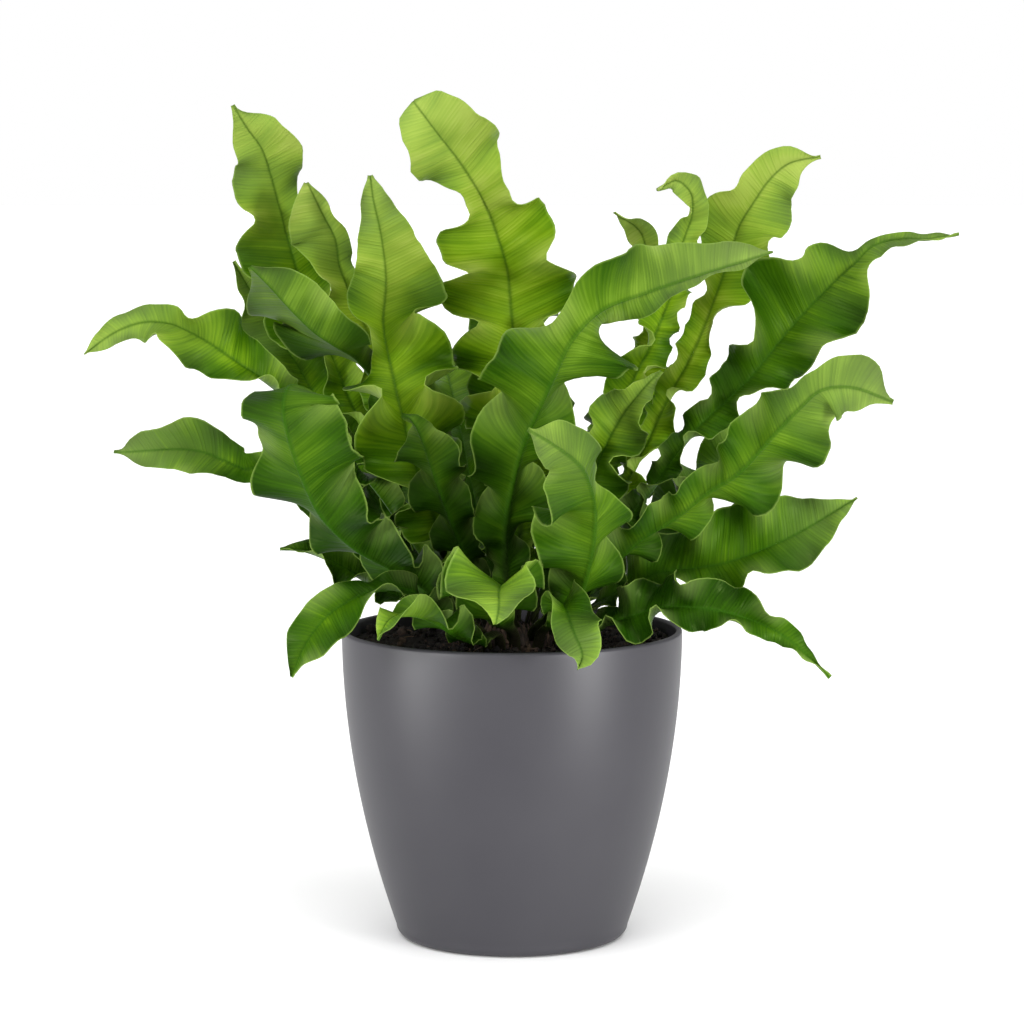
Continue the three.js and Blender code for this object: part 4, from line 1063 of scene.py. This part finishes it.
class Finish:
    """A node material. Its calls add nodes, and give back an output for the next one to read."""

    def __init__(self, name):
        self.material = bpy.data.materials.new(name)
        self.material.use_nodes = True
        self.tree = self.material.node_tree
        self.tree.nodes.clear()

    def node(self, kind, inputs=(), **settings):
        """A node with these settings. inputs gives each socket a value, another node's output, or None,
        which leaves it as it is."""
        made = self.tree.nodes.new("ShaderNode" + kind)
        for setting, value in settings.items():
            setattr(made, setting, value)
        for socket, value in dict(inputs).items():
            if isinstance(value, bpy.types.NodeSocket):
                self.tree.links.new(value, made.inputs[socket])
            elif value is not None:
                made.inputs[socket].default_value = value
        return made

    def math(self, operation, a, b=0.0):
        return self.node("Math", {0: a, 1: b}, operation=operation).outputs[0]

    def total(self, *values):
        """The sum of two or more values."""
        first, *others = values
        for value in others:
            first = self.math("ADD", first, value)
        return first

    def times(self, a, b):
        return self.math("MULTIPLY", a, b)

    def attribute(self, name):
        return self.node("Attribute", attribute_name=name).outputs["Fac"]

    def object_place(self):
        return self.node("TexCoord").outputs["Object"]

    def point(self, x, y, z):
        return self.node("CombineXYZ", {"X": x, "Y": y, "Z": z}).outputs[0]

    def fade(self, value, low, high, to_low=0.0, to_high=1.0):
        """value's stretch from low to high spread over to_low to to_high, and held there beyond it."""
        inputs = {"Value": value, "From Min": low, "From Max": high, "To Min": to_low, "To Max": to_high}
        return self.node("MapRange", inputs, clamp=True).outputs[0]

    def noise(self, place, scale, detail=2.0, roughness=0.5):
        inputs = {"Vector": place, "Scale": scale, "Detail": detail, "Roughness": roughness}
        return self.node("TexNoise", inputs).outputs["Fac"]

    def ramp(self, value, stops):
        """A colour for a value, between stops of a place and a linear colour."""
        made = self.node("ValToRGB", {"Fac": value})
        elements = made.color_ramp.elements
        while len(elements) < len(stops):
            elements.new(0.5)
        for element, (place, colour) in zip(elements, stops):
            element.position = place
            element.color = (*colour, 1)
        return made.outputs["Color"]

    def blend(self, share, a, b):
        """Colour a mixed with colour b by share. The Mix node takes its colours in its seventh and eighth
        sockets, and gives the mixed colour as its third output."""
        a, b = (colour if isinstance(colour, bpy.types.NodeSocket) else (*colour, 1) for colour in (a, b))
        return self.node("Mix", {0: share, 6: a, 7: b}, data_type="RGBA").outputs[2]

    def bump(self, height, distance, strength, under=None):
        """A relief by height, on top of the relief under it."""
        inputs = {"Height": height, "Distance": distance, "Strength": strength, "Normal": under}
        return self.node("Bump", inputs).outputs["Normal"]

    def shader(self, colour, roughness, ior, relief=None, **others):
        inputs = {"Base Color": colour, "Roughness": roughness, "IOR": ior, "Normal": relief, **others}
        return self.node("BsdfPrincipled", inputs).outputs[0]

    def done(self, surface):
        self.node("OutputMaterial", {"Surface": surface})
        return self.material


def vein_patterns(leaf):
    """The veins and the broader streaks between them, from the flat map. Both are noise that is drawn out
    along lines which climb from the midrib to the margin, the veins with a sine of their pitch added, and
    each side of the blade has its own."""
    flat = leaf.node("UVMap", uv_map="blade").outputs["UV"]
    split = leaf.node("SeparateXYZ", {"Vector": flat})
    lateral = leaf.math("ABSOLUTE", split.outputs["X"])
    climb = leaf.math("SUBTRACT", split.outputs["Y"], leaf.times(lateral, VEIN_CLIMB))
    side = leaf.math("SIGN", split.outputs["X"])

    def drawn_out(stretch, noise):
        place = [leaf.times(value, factor) for value, factor in zip((lateral, climb, side), stretch)]
        return leaf.noise(leaf.point(*place), **noise)

    wander = drawn_out(VEIN_STRETCH, VEIN_NOISE)
    turns = leaf.times(climb, TAU / (VEIN_PITCH * MM))
    ridges = leaf.math("SINE", leaf.total(turns, leaf.times(wander, VEIN_WANDER)))
    veins = leaf.total(leaf.times(ridges, VEIN_RIDGES), wander)
    return veins, drawn_out(STREAK_STRETCH, STREAK_NOISE)


def leaf_finish():
    """The fern's leathery skin. Its green goes from old to young with the frond's tone and towards the
    tip, and darkens towards the stalk, partly by its own colour and partly as painted shade deep in the
    rosette.
    It varies in soft patches and streaks, with painted shade in the troughs of the waves and painted light
    and a painted pale sheen on their crests.
    Fine veins climb from the midrib to the margin. The midrib is a dark line, the margin a thin pale one,
    the tip of all but the oldest fronds is paler, the underside is paler and duller, and the stalk is
    nearly black. Light that falls on one face glows through the other."""
    leaf = Finish("fern_blade")
    veins, streaks = vein_patterns(leaf)
    place = leaf.object_place()
    patches = leaf.noise(place, **LEAF_PATCHES)
    grain = leaf.noise(place, **LEAF_GRAIN)
    facts = ("tone", "along", "edge", "rib", "under", "opened", "crest")
    tone, along, edge, rib, under, opened, crest = (leaf.attribute(fact) for fact in facts)

    outwards = leaf.fade(edge, *OUTWARDS)
    # Painted shade in the troughs of the waves and painted light on their crests, most towards the margin.
    painted_crest_shade = leaf.times(leaf.fade(crest, *CREST_PAINTED_SHADE), outwards)
    # The tone and its real variations, with painted shade towards the stalk and in the troughs of the waves,
    # and painted light on the crests.
    age_and_shading = leaf.total(tone, leaf.fade(along, *STALK_AGE_AND_SHADE), leaf.fade(along, *TIP_AGE),
                     leaf.fade(patches, *PATCH_AGE), leaf.fade(streaks, *STREAK_AGE),
                     leaf.fade(veins, *VEIN_AGE), painted_crest_shade)
    green = leaf.ramp(age_and_shading, LEAF_GREENS)
    pale = leaf.ramp(age_and_shading, UNDERSIDE_GREENS)
    colour = leaf.blend(leaf.times(under, UNDER_PALENESS), green, pale)
    tip = leaf.times(leaf.fade(along, *TIP_PLACE), leaf.fade(tone, *TIP_TONE))
    # A painted pale sheen on the crests, most towards the margin, mixed with the real pale of the tip.
    painted_sheen = leaf.times(leaf.fade(crest, *CREST_PAINTED_SHEEN), outwards)
    colour = leaf.blend(leaf.math("MAXIMUM", tip, painted_sheen), colour, PALE_TIP_AND_SHEEN)
    rib_line = leaf.fade(rib, *RIB_LINE)
    colour = leaf.blend(leaf.times(rib_line, RIB_DARKNESS), colour, RIB_DARK)
    colour = leaf.blend(leaf.fade(edge, *MARGIN_LINE), colour, MARGIN_PALE)
    colour = leaf.blend(leaf.fade(opened, *STALK_STAIN), colour, STALK_DARK)
    rib_stain = leaf.times(leaf.fade(along, *RIB_STAIN), rib_line)
    colour = leaf.blend(rib_stain, colour, STALK_DARK)

    dullness = leaf.total(leaf.fade(veins, *LEAF_DULLNESS), leaf.times(under, UNDER_DULLNESS))
    relief = leaf.bump(grain, *GRAIN_RELIEF)
    relief = leaf.bump(streaks, *STREAK_RELIEF, relief)
    relief = leaf.bump(veins, *VEIN_RELIEF, relief)
    gloss = {"Specular Tint": (*SKIN_SHEEN, 1), "Specular IOR Level": LEAF_GLOSS}
    skin = leaf.shader(colour, dullness, LEAF_IOR, relief, **gloss)
    glow = leaf.blend(GLOW_SHARE, colour, LEAF_GLOW)
    through = leaf.node("BsdfTranslucent", {"Color": glow, "Normal": relief}).outputs[0]
    return leaf.done(leaf.node("MixShader", {0: TRANSLUCENCY, 1: skin, 2: through}).outputs[0])


def pot_finish():
    """Satin anthracite plastic with a very fine moulded grain, a little duller in soft patches."""
    pot = Finish("satin_anthracite")
    place = pot.object_place()
    clouds = pot.noise(place, **POT_CLOUDS)
    dullness = pot.fade(clouds, *POT_DULLNESS)
    relief = pot.bump(pot.noise(place, **POT_GRAIN), *POT_RELIEF)
    return pot.done(pot.shader(pot.ramp(clouds, POT_GREYS), dullness, POT_IOR, relief))


def peat_finish(name, browns, by_piece):
    """Peat and coir: dry browns that vary from crumb to crumb, or over the soil where it is one surface,
    with a rough crumbly grain."""
    peat = Finish(name)
    place = peat.object_place()
    grain = peat.noise(place, **PEAT_GRAIN)
    shade = peat.attribute("shade") if by_piece else peat.noise(place, **PEAT_PATCHES)
    colour = peat.ramp(peat.total(shade, peat.fade(grain, *PEAT_VARIETY)), browns)
    relief = peat.bump(grain, *PEAT_RELIEF)
    return peat.done(peat.shader(colour, PEAT_DULLNESS, PEAT_IOR, relief))


def floor_finish():
    """A white sweep with the faintest unevenness in its paint."""
    floor = Finish("white_sweep")
    clouds = floor.noise(floor.object_place(), **FLOOR_CLOUDS)
    return floor.done(floor.shader(floor.ramp(clouds, FLOOR_WHITES), FLOOR_DULLNESS, FLOOR_IOR))


def build_floor():
    """A pale floor, a little below the pot's base so that their faces don't meet."""
    mesh = bpy.data.meshes.new("studio_floor")
    signs = [(-1, -1), (1, -1), (1, 1), (-1, 1)]
    corners = [(x * FLOOR_REACH, y * FLOOR_REACH, FLOOR_DROP) for x, y in signs]
    mesh.from_pydata(corners, [], [(0, 1, 2, 3)])
    mesh.materials.append(floor_finish())
    add_object("studio_floor", mesh)


def hang_lamp(name, light, place, away):
    """A lamp at a place that shines against the direction away."""
    lamp = add_object(name, light)
    lamp.location = place
    lamp.rotation_euler = away.to_track_quat("Z", "Y").to_euler()
    return lamp


def softbox(name, azimuth, elevation, spread, strength):
    """A large soft studio lamp that shines on everything alike. azimuth turns about Z from the camera's
    side towards its right, elevation is above the floor, and spread is how wide it looks, in degrees."""
    light = bpy.data.lights.new(name, "SUN")
    light.angle = math.radians(spread)
    light.energy = strength
    a, e = math.radians(azimuth), math.radians(elevation)
    away = Vector((math.sin(a) * math.cos(e), -math.cos(a) * math.cos(e), math.sin(e)))
    hang_lamp(name, light, away, away)


def low_strip(name, place, power):
    """A small lamp close beside the pot, unseen itself. The pot's wall leans in towards its base, so it
    mirrors only what stands low, and two such lamps draw its pair of soft upright sheens."""
    light = bpy.data.lights.new(name, "AREA")
    light.shape = "RECTANGLE"
    light.size, light.size_y = LOW_STRIP_SIZE
    light.energy = power
    light.spread = math.radians(LOW_STRIP_CONE)
    lamp = hang_lamp(name, light, place, Vector(place) - Vector(LOW_STRIP_AIM))
    lamp.visible_camera = False


def build_light():
    """A white studio: a strip on either side of the camera, a large softbox overhead, a weaker one behind,
    two small low lamps beside the pot, and a surround that looks pure white but adds only a low, even
    light of its own."""
    world = bpy.data.worlds.new("white_studio")
    world.use_nodes = True
    nodes, links = world.node_tree.nodes, world.node_tree.links
    surround = nodes["Background"]
    surround.inputs["Color"].default_value = (1, 1, 1, 1)
    seen = nodes.new("ShaderNodeLightPath").outputs["Is Camera Ray"]
    strength = nodes.new("ShaderNodeMapRange")
    strength.inputs["To Min"].default_value = SURROUND_LIGHT
    strength.inputs["To Max"].default_value = SURROUND_SEEN
    links.new(seen, strength.inputs["Value"])
    links.new(strength.outputs[0], surround.inputs["Strength"])
    bpy.context.scene.world = world
    for lamp in SOFTBOXES:
        softbox(**lamp)
    for lamp in LOW_STRIPS:
        low_strip(**lamp)


def build_camera():
    """The photograph's view: level from side to side, a little above the leaves' middle, tilted down."""
    lens = bpy.data.cameras.new("camera")
    lens.sensor_width = CAMERA_SENSOR
    lens.lens = CAMERA_LENS
    camera = add_object("camera", lens)
    camera.location = CAMERA_PLACE
    camera.rotation_euler = (math.radians(90 - CAMERA_TILT), 0, 0)
    bpy.context.scene.camera = camera


build_camera()
build_light()
build_floor()
leaf_skin = leaf_finish()
for index, frond in enumerate(FRONDS):
    build_leaf(frond, index, leaf_skin)
build_pot(pot_finish())
build_soil(peat_finish("peat_ground", PEAT_BROWNS, False))
build_crumbs(peat_finish("peat_crumb", PEAT_BROWNS, True))
build_fibres(peat_finish("coir", COIR_BROWNS, True))
build_crown(peat_finish("rhizome_bark", BARK_BROWNS, False))
build_scales(peat_finish("rhizome_scale", BARK_BROWNS, True))
bpy.context.scene.view_settings.view_transform = "Standard"
